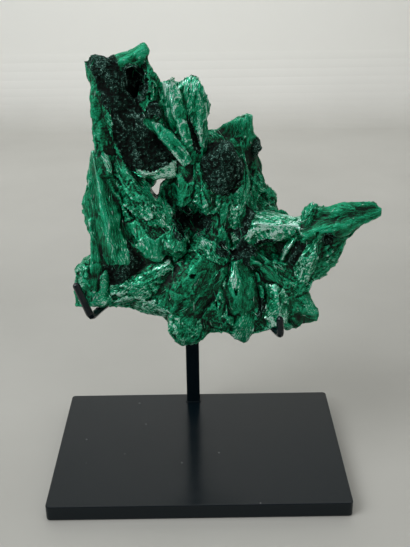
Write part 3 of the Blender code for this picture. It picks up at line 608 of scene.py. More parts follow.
@dataclass
class Stone:
    """The malachite: a body with fans of fibres and crusts grown out of it, as one natural thing."""

    fans: FanShape = FanShape()
    relief: SkinRelief = SkinRelief()
    strands: ThreadShape = ThreadShape()
    body_spacing: float = 1.1
    row_spacing: float = 0.87
    skin_spacing: float = 0.5
    rim_round: float = 7.0
    rim_thickness: float = 1.4
    relief_blend: float = 4
    coarse_lath: float = 2.8
    fine_lath: float = 1.3
    bed_gap: float = 0.35
    rod_gap: float = 0.3
    box_gap: float = 0.02
    calm_reach: float = 2
    weld_distance: float = 0.01
    body_share: float = 0.9
    section_power: float = 2.8
    root_sink: float = 1.8
    warp_cell: float = 3
    warp: float = 0.8
    form_gap: float = 1000
    most_proud: float = 2
    most_rise: float = 0.8
    lane_rise: float = 0.8
    mark_shift: float = 60
    facet_turn: float = 0.5
    body_turn: float = 3.0
    # Reach, in radii of a pit, of the dark velvet coat put inside the pits as painted shade
    pit_shade_reach: float = 1.3
    seam_x: float = 1.0
    knob_wave: float = 0.09
    sharp_angle: float = 36.0
    weathering: tuple[Pair, ...] = ((20.0, 1.3), (8.0, 0.8))
    field_starts: tuple[Triple, ...] = ((0.0, 0.0, 0.0), (9.3, 4.1, 7.7), (2.6, 8.8, 5.2))

    def __post_init__(self) -> None:
        """Reads the room that the stone may fill from its solid."""
        low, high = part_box("malachite")
        self.low, self.high = np.array(low) / MM, np.array(high) / MM

    def weathered(self, points: np.ndarray) -> np.ndarray:
        """Moves points a little by a smooth field, as the solid's own points are.

        Args:
            points: Places in millimetres, which this changes.

        Returns:
            The moved places.
        """
        for grain, depth in self.weathering:
            for row in points:
                place = Vector(row / grain)
                row += depth * np.array([noise.noise(place + Vector(s)) for s in self.field_starts])
        return points

    def axes(self, sheaf: Sheaf) -> tuple[np.ndarray, np.ndarray, np.ndarray, np.ndarray]:
        """Where a fan really stands.

        Args:
            sheaf: The fan.

        Returns:
            Its root, sunk into the body, the vector from there to its tip, and the unit vectors
            across it and out of its face.
        """
        front = facing(sheaf.turn, sheaf.tilt)
        root = seen(sheaf.root) - self.root_sink * front
        along = seen(sheaf.tip) - root
        grain = along / float(np.linalg.norm(along))
        front = unit(front - grain * front.dot(grain))
        return root, along, np.cross(grain, front), front

    def fan_steps(
        self, sheaf: Sheaf, seed: int, run: np.ndarray, lane: np.ndarray
    ) -> np.ndarray:
        """How far the laths and lumps of a fan stand out of its face.

        Args:
            sheaf: The fan.
            seed: Picks its random laths.
            run: Place of each point along the fibres.
            lane: Its place across them.

        Returns:
            A height for each point.
        """
        shape = self.fans
        size = min(1.0, float(max(sheaf.depth)) / shape.full_depth)
        flat = np.zeros_like(run)
        long, wide = shape.heave_cell
        heave, rough = (
            cloud(np.stack([run / long * k, lane / wide * k, flat], -1), seed + k) for k in (1, 3)
        )
        if sheaf.finish is VELVET:
            return size * shape.velvet_heave * heave
        crumb = sheaf.finish.value[1]
        coarse = laths(lane / self.coarse_lath, run / shape.lath_lengths[0], seed) - 0.5
        fine = laths(lane / self.fine_lath, run / shape.lath_lengths[1], seed + 3) - 0.5
        comb = shape.lath_steps[0] * coarse + shape.lath_steps[1] * fine
        lumps = (shape.heave[0] + shape.heave[1] * crumb) * heave
        return size * (comb + lumps + shape.roughness * crumb * rough)

    def fan(self, sheaf: Sheaf, seed: int) -> Patch:
        """A closed fan of laths from root to tip.

        Args:
            sheaf: Its place, half widths, half depths, folds, raggedness and finish.
            seed: Picks its random laths.

        Returns:
            The fan's patch.
        """
        shape = self.fans
        root, along, across, front = self.axes(sheaf)
        length = float(np.linalg.norm(along))
        columns = int(np.clip(2 * max(sheaf.width) / shape.spacing[0], *shape.grid_limits)) + 1
        rows = int(np.clip(length / shape.spacing[1], *shape.grid_limits)) + 1
        u = np.linspace(0, 1, rows)[:, None] * np.ones(columns)
        v = np.linspace(-1, 1, columns) * np.ones((rows, 1))
        lane = v * np.mean(sheaf.width) + shape.lane_start
        run = u * length
        side = np.stack([run, shape.edge_apart * np.sign(v), np.zeros_like(v)], -1)
        edge = sum(high * cloud(side / cell, seed + k) for k, (cell, high) in enumerate(shape.edge_waves))
        draw_in = np.clip((u - shape.draw_in_from) / (1 - shape.draw_in_from), 0, 1) ** 2
        width = between(u, sheaf.width) * (1 + edge * np.abs(v)) * (1 - shape.draw_in_width * draw_in)
        depth = between(u, sheaf.depth) * (1 - shape.draw_in_depth * draw_in)
        ridge = shape.ridge_shift * (scatter(seed, Seed.RIDGE) - 0.5)
        roof = np.minimum((1 - v) / (1 - ridge), (1 + v) / (1 + ridge))
        slab = (1 - np.abs(v) ** 4).clip(0) ** 0.5
        section = np.maximum(shape.roof * roof + shape.slab * slab, shape.thinnest)
        phase = sum(sheaf.root) + sum(sheaf.tip)
        fold = 1 + shape.fold_height * pleat(sheaf.folds * v + phase)
        steps = self.fan_steps(sheaf, seed, run, lane)
        reach = u * (1 - sheaf.ragged * laths(lane / shape.ragged_lath, np.zeros_like(v), seed + 5))
        reach *= 1 - shape.corner_round * np.abs(v - ridge) ** 2
        spine = root + along * reach[..., None] + across * (width * v)[..., None]
        face = spine + front * (depth * section * fold + steps)[..., None]
        rear = spine + front * (shape.rear_share * steps - depth * section * fold)[..., None]
        points = np.concatenate([face.reshape(-1, 3), rear.reshape(-1, 3)])
        offset = shape.mark_scatter * scatter(np.array([seed, seed + 1]), Seed.MARKS)
        marks = np.stack([run + offset[0], lane + offset[1]], -1).reshape(-1, 2)
        marks = np.concatenate([marks, marks + shape.rear_marks])
        return self.plain(points, self.slab_faces(rows, columns), marks)

    @staticmethod
    def slab_faces(rows: int, columns: int) -> np.ndarray:
        """Quads of two like grids, face to face, and of the walls between their rims.

        Args:
            rows: Count of rows of points in a grid.
            columns: Count of points in a row.

        Returns:
            The corners of each quad.
        """
        count = rows * columns
        number = np.arange(count).reshape(rows, columns)
        other = number + count
        walls = []
        for near, far, turned in (
            (number[:, -1], other[:, -1], False),
            (number[:, 0], other[:, 0], True),
            (number[-1], other[-1], True),
            (number[0], other[0], False),
        ):
            wall = np.stack([near[:-1], far[:-1], far[1:], near[1:]], -1)
            walls.append(wall[:, ::-1] if turned else wall)
        sheets = [grid_faces(rows, columns), grid_faces(rows, columns, count)[:, ::-1]]
        return np.concatenate([*sheets, *walls])

    @staticmethod
    def plain(points: np.ndarray, faces: np.ndarray, marks: np.ndarray) -> Patch:
        """A patch with nothing on it yet for the shaders to read but its grain.

        Args:
            points: Its points in millimetres.
            faces: The corners of its faces.
            marks: Its grain marks.

        Returns:
            The patch.
        """
        blank = np.zeros(len(points))
        return Patch(points, faces, marks, blank, blank, blank)

    def knob(self, crust: Crust) -> Patch:
        """A crust's lumpy ellipsoid.

        Args:
            crust: Its place, radii and lean.

        Returns:
            The crust's patch.
        """
        shape = bmesh.new()
        bmesh.ops.create_icosphere(shape, subdivisions=5, radius=1)
        ball = np.array([v.co for v in shape.verts])
        faces = np.array([[v.index for v in f.verts] for f in shape.faces])
        shape.free()
        phase = sum(crust.middle)
        wave = np.sin(4 * ball[:, 0] + phase) + np.sin(4 * ball[:, 2] + 3 * ball[:, 1] + phase)
        ball = ball * np.array(crust.radii) * (1 + self.knob_wave * wave)[:, None]
        x, z = leaned(ball[:, 0], ball[:, 2], crust.lean)
        points = seen(crust.middle) + np.stack([x, ball[:, 1], z], -1)
        return self.plain(points, faces, np.stack([z, x], -1))

    def relief_at(self, x: np.ndarray, z: np.ndarray) -> tuple[np.ndarray, np.ndarray]:
        """Depth of the body's front and back, blended from the nearest readings.

        Args:
            x: Places across, as the eye sees them.
            z: Their heights, as the eye sees them.

        Returns:
            The depths of the front and of the back.
        """
        table = np.array(RELIEF, float)
        away = (x[:, None] - table[:, 0]) ** 2 + (z[:, None] - table[:, 1]) ** 2
        weight = 1 / (away + self.relief_blend) ** 2
        weight /= weight.sum(1, keepdims=True)
        return weight @ table[:, 2], weight @ table[:, 3]

    @staticmethod
    def distance_to(ring: np.ndarray, places: np.ndarray) -> np.ndarray:
        """Distance from each place to a closed ring of points.

        Args:
            ring: The ring's points.
            places: The places, in the ring's plane.

        Returns:
            A distance for each place.
        """
        nearest = np.full(len(places), np.inf)
        for start, end in zip(ring, np.roll(ring, -1, axis=0)):
            run = end - start
            share = np.clip((places - start) @ run / (run @ run), 0, 1)
            gap = np.linalg.norm(start + share[:, None] * run - places, axis=1)
            nearest = np.minimum(nearest, gap)
        return nearest

    @staticmethod
    def inside(ring: np.ndarray, places: np.ndarray) -> np.ndarray:
        """Whether each place lies inside a closed ring of points.

        Args:
            ring: The ring's points.
            places: The places, in the ring's plane.

        Returns:
            True or False for each place.
        """
        crossings = np.zeros(len(places), bool)
        for (ax, az), (bx, bz) in zip(ring, np.roll(ring, -1, axis=0)):
            spans = (az > places[:, 1]) != (bz > places[:, 1])
            with np.errstate(divide="ignore", invalid="ignore"):
                at = ax + (places[:, 1] - az) / (bz - az) * (bx - ax)
            crossings ^= spans & (places[:, 0] < at)
        return crossings

    def ring(self, corners: tuple[Pair, ...]) -> np.ndarray:
        """A closed ring with points at the body's spacing.

        Args:
            corners: The ring's corners.

        Returns:
            Its points.
        """
        points = []
        for start, end in zip(np.array(corners, float), np.roll(np.array(corners, float), -1, 0)):
            steps = max(1, round(float(np.linalg.norm(end - start)) / self.body_spacing))
            points += [start + (end - start) * k / steps for k in range(steps)]
        return np.array(points)

    def body(self) -> Patch:
        """The body: its outline filled, swelling to the relief before and behind."""
        rim = self.ring(OUTLINE)
        step = self.body_spacing
        low, high = rim.min(0), rim.max(0)
        places = []
        for number, z in enumerate(np.arange(low[1], high[1], step * self.row_spacing)):
            x = np.arange(low[0] + (number % 2) * step / 2, high[0], step)
            places.append(np.stack([x, np.full_like(x, z)], -1))
        places = np.concatenate(places)
        keep = self.inside(rim, places) & (self.distance_to(rim, places) > step / 2)
        places = np.concatenate([rim, places[keep]])
        edges = [(i, (i + 1) % len(rim)) for i in range(len(rim))]
        flat, _, cells, *_ = geometry.delaunay_2d_cdt([Vector(p) for p in places], edges, [], 1, 1e-4)
        flat = np.array(flat)
        cells = np.array([cell for cell in cells if len(cell) == 3])
        front, back = self.relief_at(flat[:, 0], flat[:, 1])
        near = np.clip(self.distance_to(rim, flat) / self.rim_round, 0, 1)
        swell = np.sqrt(near * (2 - near))
        half = self.rim_thickness / 2 + (back - front - self.rim_thickness) / 2 * swell
        middle = (front + back) / 2
        sides = [seen((flat[:, 0], flat[:, 1], depth)).T for depth in (middle - half, middle + half)]
        count = len(flat)
        ends = np.concatenate([cells[:, [0, 1]], cells[:, [1, 2]], cells[:, [2, 0]]])
        keys = np.sort(ends, axis=1)
        _, first, uses = np.unique(keys, axis=0, return_index=True, return_counts=True)
        near, far = ends[first[uses == 1]].T
        walls = [np.stack([far, near, near + count], -1), np.stack([far, near + count, far + count], -1)]
        points = np.concatenate(sides)
        faces = np.concatenate([cells, cells[:, ::-1] + count, *walls])
        return self.plain(points, faces, points[:, [2, 0]])

    def mesh_of(self, name: str, patches: list[Patch]) -> bpy.types.Mesh:
        """One mesh, in metres, of several patches.

        Args:
            name: The mesh's name.
            patches: What it is made of.

        Returns:
            The mesh, with its grain marks, its lustre, which carries painted light and shade, and its
            hollows.
        """
        corners, totals, slots = [], [], []
        start = 0
        for patch in patches:
            corners.append((patch.faces + start).ravel())
            totals.append(np.full(len(patch.faces), patch.faces.shape[1]))
            slots.append(np.broadcast_to(patch.slot, len(patch.faces)))
            start += len(patch.points)
        points = np.concatenate([p.points for p in patches])
        corners, totals, slots = map(np.concatenate, (corners, totals, slots))
        mesh = bpy.data.meshes.new(name)
        mesh.vertices.add(len(points))
        mesh.vertices.foreach_set("co", (points * MM).ravel())
        mesh.loops.add(len(corners))
        mesh.loops.foreach_set("vertex_index", corners.astype(np.int32))
        mesh.polygons.add(len(totals))
        starts = np.concatenate([[0], np.cumsum(totals)[:-1]])
        mesh.polygons.foreach_set("loop_start", starts.astype(np.int32))
        mesh.polygons.foreach_set("material_index", slots.astype(np.int32))
        marks = [p.grain if len(p.grain) == p.faces.size else p.grain[p.faces.ravel()] for p in patches]
        mesh.uv_layers.new(name="grain").data.foreach_set("uv", np.concatenate(marks).ravel())
        for key in ("lustre_and_painted_light", "crumb", "hollow"):
            values = np.concatenate([getattr(p, key) for p in patches]).astype(np.float32)
            mesh.attributes.new(key, "FLOAT", "POINT").data.foreach_set("value", values)
        mesh.update(calc_edges=True)
        return mesh

    @staticmethod
    def helper(name: str, mesh: bpy.types.Mesh) -> bpy.types.Object:
        """A shape that only serves to make another.

        Args:
            name: Its name.
            mesh: The shape.

        Returns:
            Its object, which is not rendered.
        """
        made = add_object(name, mesh)
        made.hide_render = True
        return made

    def swollen(self, name: str, shape: bmesh.types.BMesh) -> bpy.types.Object:
        """A cutter of this shape, a little thicker all round.

        Args:
            name: Its name.
            shape: The shape, which is used up.

        Returns:
            The cutter.
        """
        bmesh.ops.remove_doubles(shape, verts=shape.verts, dist=self.weld_distance * MM)
        bmesh.ops.recalc_face_normals(shape, faces=shape.faces)
        shape.normal_update()
        for corner in shape.verts:
            corner.co += corner.normal * self.bed_gap * MM
        bmesh.ops.triangulate(shape, faces=shape.faces)
        mesh = bpy.data.meshes.new(name)
        shape.to_mesh(mesh)
        shape.free()
        return self.helper(name, mesh)

    def bed(self, node: str) -> bpy.types.Object:
        """The room that a rod of the stand takes up in the stone.

        Args:
            node: The rod's name.

        Returns:
            A cutter.
        """
        shape = bmesh.new()
        shape.from_mesh(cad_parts[node].data)
        return self.swollen("bed_" + node, shape)

    def slit(self) -> bpy.types.Object:
        """The slit that light shows through, as a prism along the line of sight."""
        shape = bmesh.new()
        near, far = ([shape.verts.new(seen((x, z, y)) * MM) for x, z in SLIT] for y in SLIT_REACH)
        for k in range(len(SLIT)):
            after = (k + 1) % len(SLIT)
            shape.faces.new((near[k], near[after], far[after], far[k]))
        shape.faces.new(near)
        shape.faces.new(far)
        return self.swollen("slit", shape)

    def calm(self, points: np.ndarray) -> np.ndarray:
        """How much of its relief the skin keeps: none on the walls of the slit and beside the rods.

        Args:
            points: Places in millimetres.

        Returns:
            A share from 0 to 1 for each place.
        """
        reach = -EYE[1] / (points[:, 1] - EYE[1])
        flat = np.stack([EYE[k] + reach * (points[:, k] - EYE[k]) for k in (0, 2)], -1)
        near = self.distance_to(self.ring(SLIT), flat)
        for node in RODS:
            tree = rod_shape(node)[0]
            near = np.minimum(near, [tree.find_nearest(p)[3] for p in points])
        return np.clip((near - 2 * self.bed_gap) / self.calm_reach, 0, 1)

    def fused(self, patches: list[Patch]) -> tuple[np.ndarray, np.ndarray]:
        """Fuses closed patches into one skin of even faces, less the pits, the slit and the beds.

        Args:
            patches: Closed shapes that overlap.

        Returns:
            The skin's points in millimetres and its quads.
        """
        raw = self.helper("raw", self.mesh_of("raw", patches))
        cutters = [self.helper("pit", self.mesh_of("pit", [self.knob(pit)])) for pit in PITS]
        cutters += [self.slit(), *(self.bed(node) for node in RODS)]
        group = bpy.data.collections.new("hollows")
        for cutter in cutters:
            group.objects.link(cutter)
        for turn in ("fuse", "even"):
            if turn == "even":
                cut = raw.modifiers.new("hollows", "BOOLEAN")
                cut.operation, cut.operand_type, cut.solver = "DIFFERENCE", "COLLECTION", "MANIFOLD"
                cut.collection = group
            skin = raw.modifiers.new(turn, "REMESH")
            skin.mode, skin.voxel_size = "VOXEL", self.skin_spacing * MM
        graph = bpy.context.evaluated_depsgraph_get()
        mesh = bpy.data.meshes.new_from_object(raw.evaluated_get(graph))
        for thing in [raw, *cutters]:
            bpy.data.objects.remove(thing)
        bpy.data.collections.remove(group)
        points = np.empty(3 * len(mesh.vertices))
        mesh.vertices.foreach_get("co", points)
        faces = np.empty(len(mesh.loops), np.int32)
        mesh.loops.foreach_get("vertex_index", faces)
        return points.reshape(-1, 3) / MM, faces.reshape(-1, 4)

    @staticmethod
    def reach_from(points: np.ndarray, crust: Crust) -> np.ndarray:
        """Distance of each point from a crust's middle.

        Args:
            points: Places in millimetres.
            crust: The crust.

        Returns:
            Distances in radii of the crust.
        """
        away = points - seen(crust.middle)
        x, z = leaned(away[:, 0], away[:, 2], -crust.lean)
        return np.linalg.norm(np.stack([x, away[:, 1], z], -1) / crust.radii, axis=1)

    def owners(self, points: np.ndarray, forms: list[Sheaf | Crust]) -> np.ndarray:
        """Which form each place of the skin belongs to.

        Args:
            points: Places in millimetres.
            forms: The stone's forms.

        Returns:
            The form's number for each place, or -1 on the body.
        """
        nearest = np.full(len(points), self.body_share)
        owner = np.full(len(points), -1)
        for number, form in enumerate(forms):
            if isinstance(form, Crust):
                away = (self.reach_from(points, form) - 1) * min(form.radii)
            else:
                run, side, rise, u = self.local(points, form)
                width, depth = (between(u, sizes) for sizes in (form.width, form.depth))
                power = self.section_power
                section = (np.abs(side / width) ** power + np.abs(rise / depth) ** power) ** (1 / power)
                past = np.maximum(-run, run - float(np.linalg.norm(self.axes(form)[1])))
                away = np.maximum((section - 1) * np.minimum(width, depth), past)
            closer = away < nearest
            nearest[closer], owner[closer] = away[closer], number
        return owner

    def local(self, points: np.ndarray, form: Sheaf) -> tuple[np.ndarray, ...]:
        """Where points lie in a fan.

        Args:
            points: Places in millimetres.
            form: The fan.

        Returns:
            Distance along, across and in front of its middle line, and the share of its length.
        """
        root, along, across, front = self.axes(form)
        length = float(np.linalg.norm(along))
        away = points - root
        run = away @ (along / length)
        return run, away @ across, away @ front, np.clip(run / length, 0, 1)

    @staticmethod
    def evened(points: np.ndarray, ends: np.ndarray, rounds: int) -> np.ndarray:
        """Each point moved to the mean of its neighbours, several times over.

        Args:
            points: Rows of three numbers.
            ends: Pairs of neighbours.
            rounds: How many times.

        Returns:
            The moved points.
        """
        count = np.bincount(ends.ravel(), minlength=len(points))[:, None]
        for _ in range(rounds):
            total = [
                np.bincount(ends[:, 0], points[ends[:, 1], k], len(points))
                + np.bincount(ends[:, 1], points[ends[:, 0], k], len(points))
                for k in range(3)
            ]
            points = np.stack(total, -1) / count
        return points

    def placed(self, points: np.ndarray, owner: np.ndarray, forms: list[Sheaf | Crust]) -> np.ndarray:
        """Place of each point along, across and in front of the form that it is part of.

        Args:
            points: Places in millimetres.
            owner: Number of each place's form.
            forms: The stone's forms.

        Returns:
            Three numbers, in millimetres, for each place.
        """
        place = points[:, [2, 0, 1]].copy()
        for number, form in enumerate(forms):
            mine = owner == number
            if isinstance(form, Sheaf) and mine.any():
                run, side, rise, u = self.local(points[mine], form)
                width = between(u, form.width)
                place[mine] = np.stack([run, side * np.mean(form.width) / width, rise], -1)
        return place

    @staticmethod
    def grain_ways(owner: np.ndarray, forms: list[Sheaf | Crust]) -> np.ndarray:
        """Direction of the grain at each place.

        Args:
            owner: Number of each place's form.
            forms: The stone's forms.

        Returns:
            A unit vector for each place.
        """
        upright = np.array([0.0, 0.0, 1.0])
        ways = [unit(seen(f.tip) - seen(f.root)) if isinstance(f, Sheaf) else upright for f in forms]
        return np.array([*ways, upright])[owner]

    def facets(self, place: np.ndarray, owner: np.ndarray, kind: Cleavage) -> np.ndarray:
        """Splits the skin into facets, long along the grain, round middles picked at random.

        Args:
            place: Places along, across and in front of their forms.
            owner: Number of each place's form.
            kind: How many facets, and how long.

        Returns:
            The number of each place's facet.
        """
        warp = np.stack([cloud(place / self.warp_cell, kind.count + k) for k in range(3)], -1)
        room = place / (kind.stretch, 1, 1) + self.warp * warp
        room[:, 0] += self.form_gap * owner
        rng = np.random.default_rng(kind.count)
        middles = room[rng.choice(len(room), kind.count, replace=False)]
        tree = kdtree.KDTree(len(middles))
        for number, middle in enumerate(middles):
            tree.insert(middle, number)
        tree.balance()
        return np.array([tree.find(p)[1] for p in room])

    def cleaved(
        self, points: np.ndarray, normals: np.ndarray, facet: np.ndarray, kind: Cleavage
    ) -> np.ndarray:
        """How far each point moves for its facet to be flat, tilted and stepped.

        Args:
            points: Places in millimetres.
            normals: Which way the skin looks at each.
            facet: Number of each place's facet.
            kind: How flat, tilted and stepped the facets are.

        Returns:
            A vector for each place.
        """
        many = np.bincount(facet)[:, None] + TINY
        middle, mean = (
            np.stack([np.bincount(facet, values[:, k]) for k in range(3)], -1) / many
            for values in (points, normals)
        )
        mean = units(mean)
        away = points - middle[facet]
        proud = np.einsum("ij,ij->i", away, mean[facet])
        proud = np.clip(proud, -self.most_proud, self.most_proud)
        slope = np.stack([scatter(facet, Seed.TILT + k) - 0.5 for k in range(3)], -1)
        rise = np.einsum("ij,ij->i", away, slope) * kind.slope
        rise = np.clip(rise, -self.most_rise, self.most_rise)
        rise += kind.ledge * (scatter(facet, kind.count) - 0.5)
        return normals * rise[:, None] - mean[facet] * (kind.flatness * proud)[:, None]

    def marks_on(self, place: np.ndarray, facet: np.ndarray, owner: np.ndarray) -> np.ndarray:
        """Grain marks: the place along and across the fibres, which turn a little from facet to facet.

        Args:
            place: Places along, across and in front of their forms.
            facet: Number of each place's facet.
            owner: Number of each place's form.

        Returns:
            Two numbers, in millimetres, for each place.
        """
        run, lane = place[:, 0], place[:, 1] + self.lane_rise * place[:, 2]
        spread = np.where(owner < 0, self.body_turn, self.facet_turn)
        turn = (scatter(facet, Seed.TURN) - 0.5) * spread
        shift = [self.mark_shift * scatter(facet, k) for k in (Seed.SHIFT_ALONG, Seed.SHIFT_ACROSS)]
        along = run * np.cos(turn) - lane * np.sin(turn) + shift[0]
        across = run * np.sin(turn) + lane * np.cos(turn) + shift[1]
        return np.stack([along, across], -1)

    def skin(self, forms: list[Sheaf | Crust]) -> tuple[Patch, np.ndarray, np.ndarray]:
        """The stone's whole surface: the fused forms, split into flat facets and combed along the grain.

        Args:
            forms: The stone's forms.

        Returns:
            The skin's patch, and the way it looks and the way of its grain at each of its points.
        """
        look = self.relief
        patches = [self.body()]
        for seed, form in enumerate(forms):
            patches.append(self.knob(form) if isinstance(form, Crust) else self.fan(form, 10 * seed))
        points, faces = self.fused(patches)
        LOG.info("skin fused: %d points", len(points))
        count = len(points)
        sides = np.stack([faces, np.roll(faces, -1, 1)], -1).reshape(-1, 2)
        sides = sides[sides[:, 0] < sides[:, 1]]
        corners = points[faces]
        turned = np.cross(corners[:, 2] - corners[:, 0], corners[:, 3] - corners[:, 1])
        normals = np.stack(
            [sum(np.bincount(faces[:, k], turned[:, a], count) for k in range(4)) for a in range(3)], -1
        )
        normals = units(self.evened(normals, sides, look.normal_rounds))
        owner = self.owners(points, forms)
        velvet = np.array([f.finish is VELVET for f in forms] + [False])[owner]
        # Inside the pits the skin takes the dark velvet coat, as painted shade in the pits.
        for pit in PITS:
            velvet |= self.reach_from(points, pit) < self.pit_shade_reach
        finish, crumb = np.array([f.finish.value for f in forms] + [CRUMB.value])[owner].T
        place = self.placed(points, owner, forms)
        facet, chip = (self.facets(place, owner, kind) for kind in (BROAD, SMALL))
        marks = self.marks_on(place, facet, owner)
        long, short = look.lath_lengths
        coarse = laths(marks[:, 1] / self.coarse_lath, marks[:, 0] / long, Seed.COARSE) - 0.5
        fine = laths(marks[:, 1] / self.fine_lath, marks[:, 0] / short, Seed.FINE) - 0.5
        knobs = look.knob_middle - np.abs(cloud(points / look.knob_cell, Seed.KNOBS))
        grains = cloud(points / look.grain_cell, Seed.GRAINS)
        heave = (look.heave[0] + look.heave[1] * crumb) * cloud(points / look.heave_cell, Seed.HEAVE)
        heave += look.crumble * crumb * cloud(points / look.crumble_cell, Seed.CRUMBLE)
        combed = look.combed[0] * coarse + look.combed[1] * fine + look.combed[2] * crumb * grains
        crusty = look.crusty[0] * knobs + look.crusty[1] * grains
        relief = normals * (heave + np.where(velvet, crusty, combed))[:, None]
        broad = look.broad_relief[0] + look.broad_relief[1] * crumb
        for number, kind, share in ((facet, BROAD, broad), (chip, SMALL, crumb)):
            relief += share[:, None] * self.cleaved(points, normals, number, kind)
        moved = points + relief * self.calm(points)[:, None]
        # How deep in a crease each point sits, at two sizes, for painted shade in creases and painted glints
        # on ridges.
        sunk = [self.evened(moved, sides, rounds) - moved for rounds in look.hollow_rounds]
        near, far = (np.einsum("ij,ij->i", s, normals) / self.skin_spacing for s in sunk)
        hollow = look.hollow[0] + look.hollow[1] * near + look.hollow[2] * far
        # Tone that differs at random; a few facets also flash with painted glare, as if they caught the
        # light.
        tone = look.mottle * cloud(points / look.mottle_cell, Seed.MOTTLE)
        broad = look.broad_tone[0] + look.broad_tone[1] * crumb
        for number, kind, share in ((facet, BROAD, broad), (chip, SMALL, crumb)):
            tone += share * kind.tone * (scatter(number, Seed.TONE) - 0.5)
            tone += share * kind.flash * (scatter(number, Seed.FLASH) > look.painted_flash_from)
        # Each form's finish brings its painted light or shade into the lustre.
        lustre_and_painted_light = np.clip(finish + np.where(velvet, 0, tone), 0, look.most_lustre_and_painted_light)
        first = np.repeat(faces[:, 0], 4)
        grain = self.marks_on(
            self.placed(points[faces.ravel()], owner[first], forms), facet[first], owner[first]
        )
        slot = velvet[faces[:, 0]].astype(int)
        patch = Patch(moved, faces, grain, lustre_and_painted_light, crumb, np.clip(hollow, 0, 1), slot)
        return patch, normals, self.grain_ways(owner, forms)

    def off_rods(self, points: np.ndarray) -> np.ndarray:
        """Brings back out of the rods what weathering has carried into them.

        Args:
            points: Places in millimetres, which this changes.

        Returns:
            The same places, none of them nearer to a rod than the gap.
        """
        for node in RODS:
            tree, corners = rod_shape(node)
            low, high = corners.min(0), corners.max(0)
            beside = (points > low - self.rod_gap) & (points < high + self.rod_gap)
            for number in np.flatnonzero(beside.all(1)):
                near, normal, _, distance = tree.find_nearest(points[number])
                away = Vector(points[number]) - near
                if away.dot(normal) <= 0:
                    points[number] = near + normal * self.rod_gap
                elif distance < self.rod_gap:
                    points[number] = near + away * (self.rod_gap / distance)
        return points

    def grow(self, name: str, patches: list[Patch], finishes: list[bpy.types.Material]) -> None:
        """Turns patches into one piece of the stone.

        Args:
            name: The piece's name.
            patches: What it is made of.
            finishes: The materials that the patches' slots mean.
        """
        for patch in patches:
            moved = self.off_rods(self.weathered(patch.points.copy()))
            patch.points = np.clip(moved, self.low + self.box_gap, self.high - self.box_gap)
        mesh = self.mesh_of(name, patches)
        mesh.set_sharp_from_angle(angle=math.radians(self.sharp_angle))
        piece = add_object(name, mesh)
        for finish in finishes:
            mesh.materials.append(finish)
        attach(piece, "root")
        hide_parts("malachite")
        triangles = sum((p.faces.shape[1] - 2) * len(p.faces) for p in patches)
        LOG.info("%s: %d points, %d triangles", name, len(mesh.vertices), triangles)

    @staticmethod
    def part_of(patch: Patch, keep: np.ndarray) -> Patch:
        """The part of a skin whose faces are kept.

        Args:
            patch: The skin, with grain marks on its corners.
            keep: Whether each face stays.

        Returns:
            A patch of those faces.
        """
        used, faces = np.unique(patch.faces[keep], return_inverse=True)
        return Patch(
            patch.points[used],
            faces.reshape(-1, 4),
            patch.grain.reshape(-1, 4, 2)[keep].reshape(-1, 2),
            patch.lustre_and_painted_light[used],
            patch.crumb[used],
            patch.hollow[used],
            patch.slot[keep],
        )

    def threads(self, skin: Patch, normals: np.ndarray, ways: np.ndarray) -> Patch:
        """Thin bright strands of fibre that have come loose and lie along the skin.

        Args:
            skin: The stone's surface.
            normals: Which way it looks at each of its points.
            ways: The direction of the grain at each.

        Returns:
            One patch with all of them.
        """
        shape = self.strands
        tree = kdtree.KDTree(len(skin.points))
        for number, point in enumerate(skin.points):
            tree.insert(point, number)
        tree.balance()
        rng = np.random.default_rng(int(Seed.THREADS))
        share = np.where(skin.lustre_and_painted_light > 0, 1.0, shape.on_velvet)
        starts = rng.choice(len(skin.points), shape.count, replace=False, p=share / share.sum())
        count, sides = shape.joints, shape.sides
        taper = np.sin(np.linspace(shape.blunt_end, math.pi - shape.blunt_end, count))
        points, faces = [], []
        for start in starts:
            place = skin.points[start]
            normal = normals[start]
            way = ways[start] + rng.normal(0, shape.stray, 3)
            step = rng.uniform(*shape.length) / count
            radius = rng.uniform(*shape.radius)
            bend = rng.normal(0, shape.bend)
            path, up = [], []
            for _ in range(count):
                way = way - normal * way.dot(normal)
                way = unit(way + bend * np.cross(normal, way))
                place = place + way * step
                near, number, _ = tree.find(place)
                normal = normals[number]
                place = place - normal * (place - np.array(near)).dot(normal)
                path.append(place + normal * radius * shape.lift)
                up.append(normal)
            path, up = np.array(path), np.array(up)
            side = units(np.cross(np.gradient(path, axis=0), up))
            base = len(points) * count * sides
            points.append(rings(path, side, up, radius * taper, sides))
            number = np.arange(count * sides).reshape(count, sides) + base
            after = np.roll(number, -1, 1)
            faces.append(np.stack([number[:-1], after[:-1], after[1:], number[1:]], -1).reshape(-1, 4))
            faces += [number[[0]][:, ::-1], number[[-1]]]
        points = np.concatenate(points)
        faces = np.concatenate(faces)
        length = np.tile(np.repeat(np.arange(count), sides), len(starts)) * shape.mark_step
        lanes = np.repeat(np.arange(len(starts)), count * sides) * shape.mark_gap
        # The threads' lustre is high, for painted glints along them.
        lustre_and_painted_light = np.repeat(rng.uniform(*shape.lustre_and_painted_light, len(starts)), count * sides)
        blank = np.zeros(len(points))
        return Patch(points, faces, np.stack([length, lanes], -1), lustre_and_painted_light, blank, blank + shape.hollow)

    def build(self, finishes: list[bpy.types.Material]) -> None:
        """Builds every piece of the stone.

        Args:
            finishes: Fibrous malachite and velvet crust.
        """
        groups = (UPPER_LEFT, LEFT, MIDDLE, LOWER_MIDDLE, UPPER_RIGHT, RIGHT_WING, LOWER_RIGHT, BACK)
        forms = [form for group in groups for form in group]
        skin, normals, ways = self.skin(forms)
        left = skin.points[skin.faces].mean(1)[:, 0] < self.seam_x
        self.grow("malachite_left", [self.part_of(skin, left)], finishes)
        self.grow("malachite_right", [self.part_of(skin, ~left)], finishes)
        self.grow("malachite_threads", [self.threads(skin, normals, ways)], finishes)


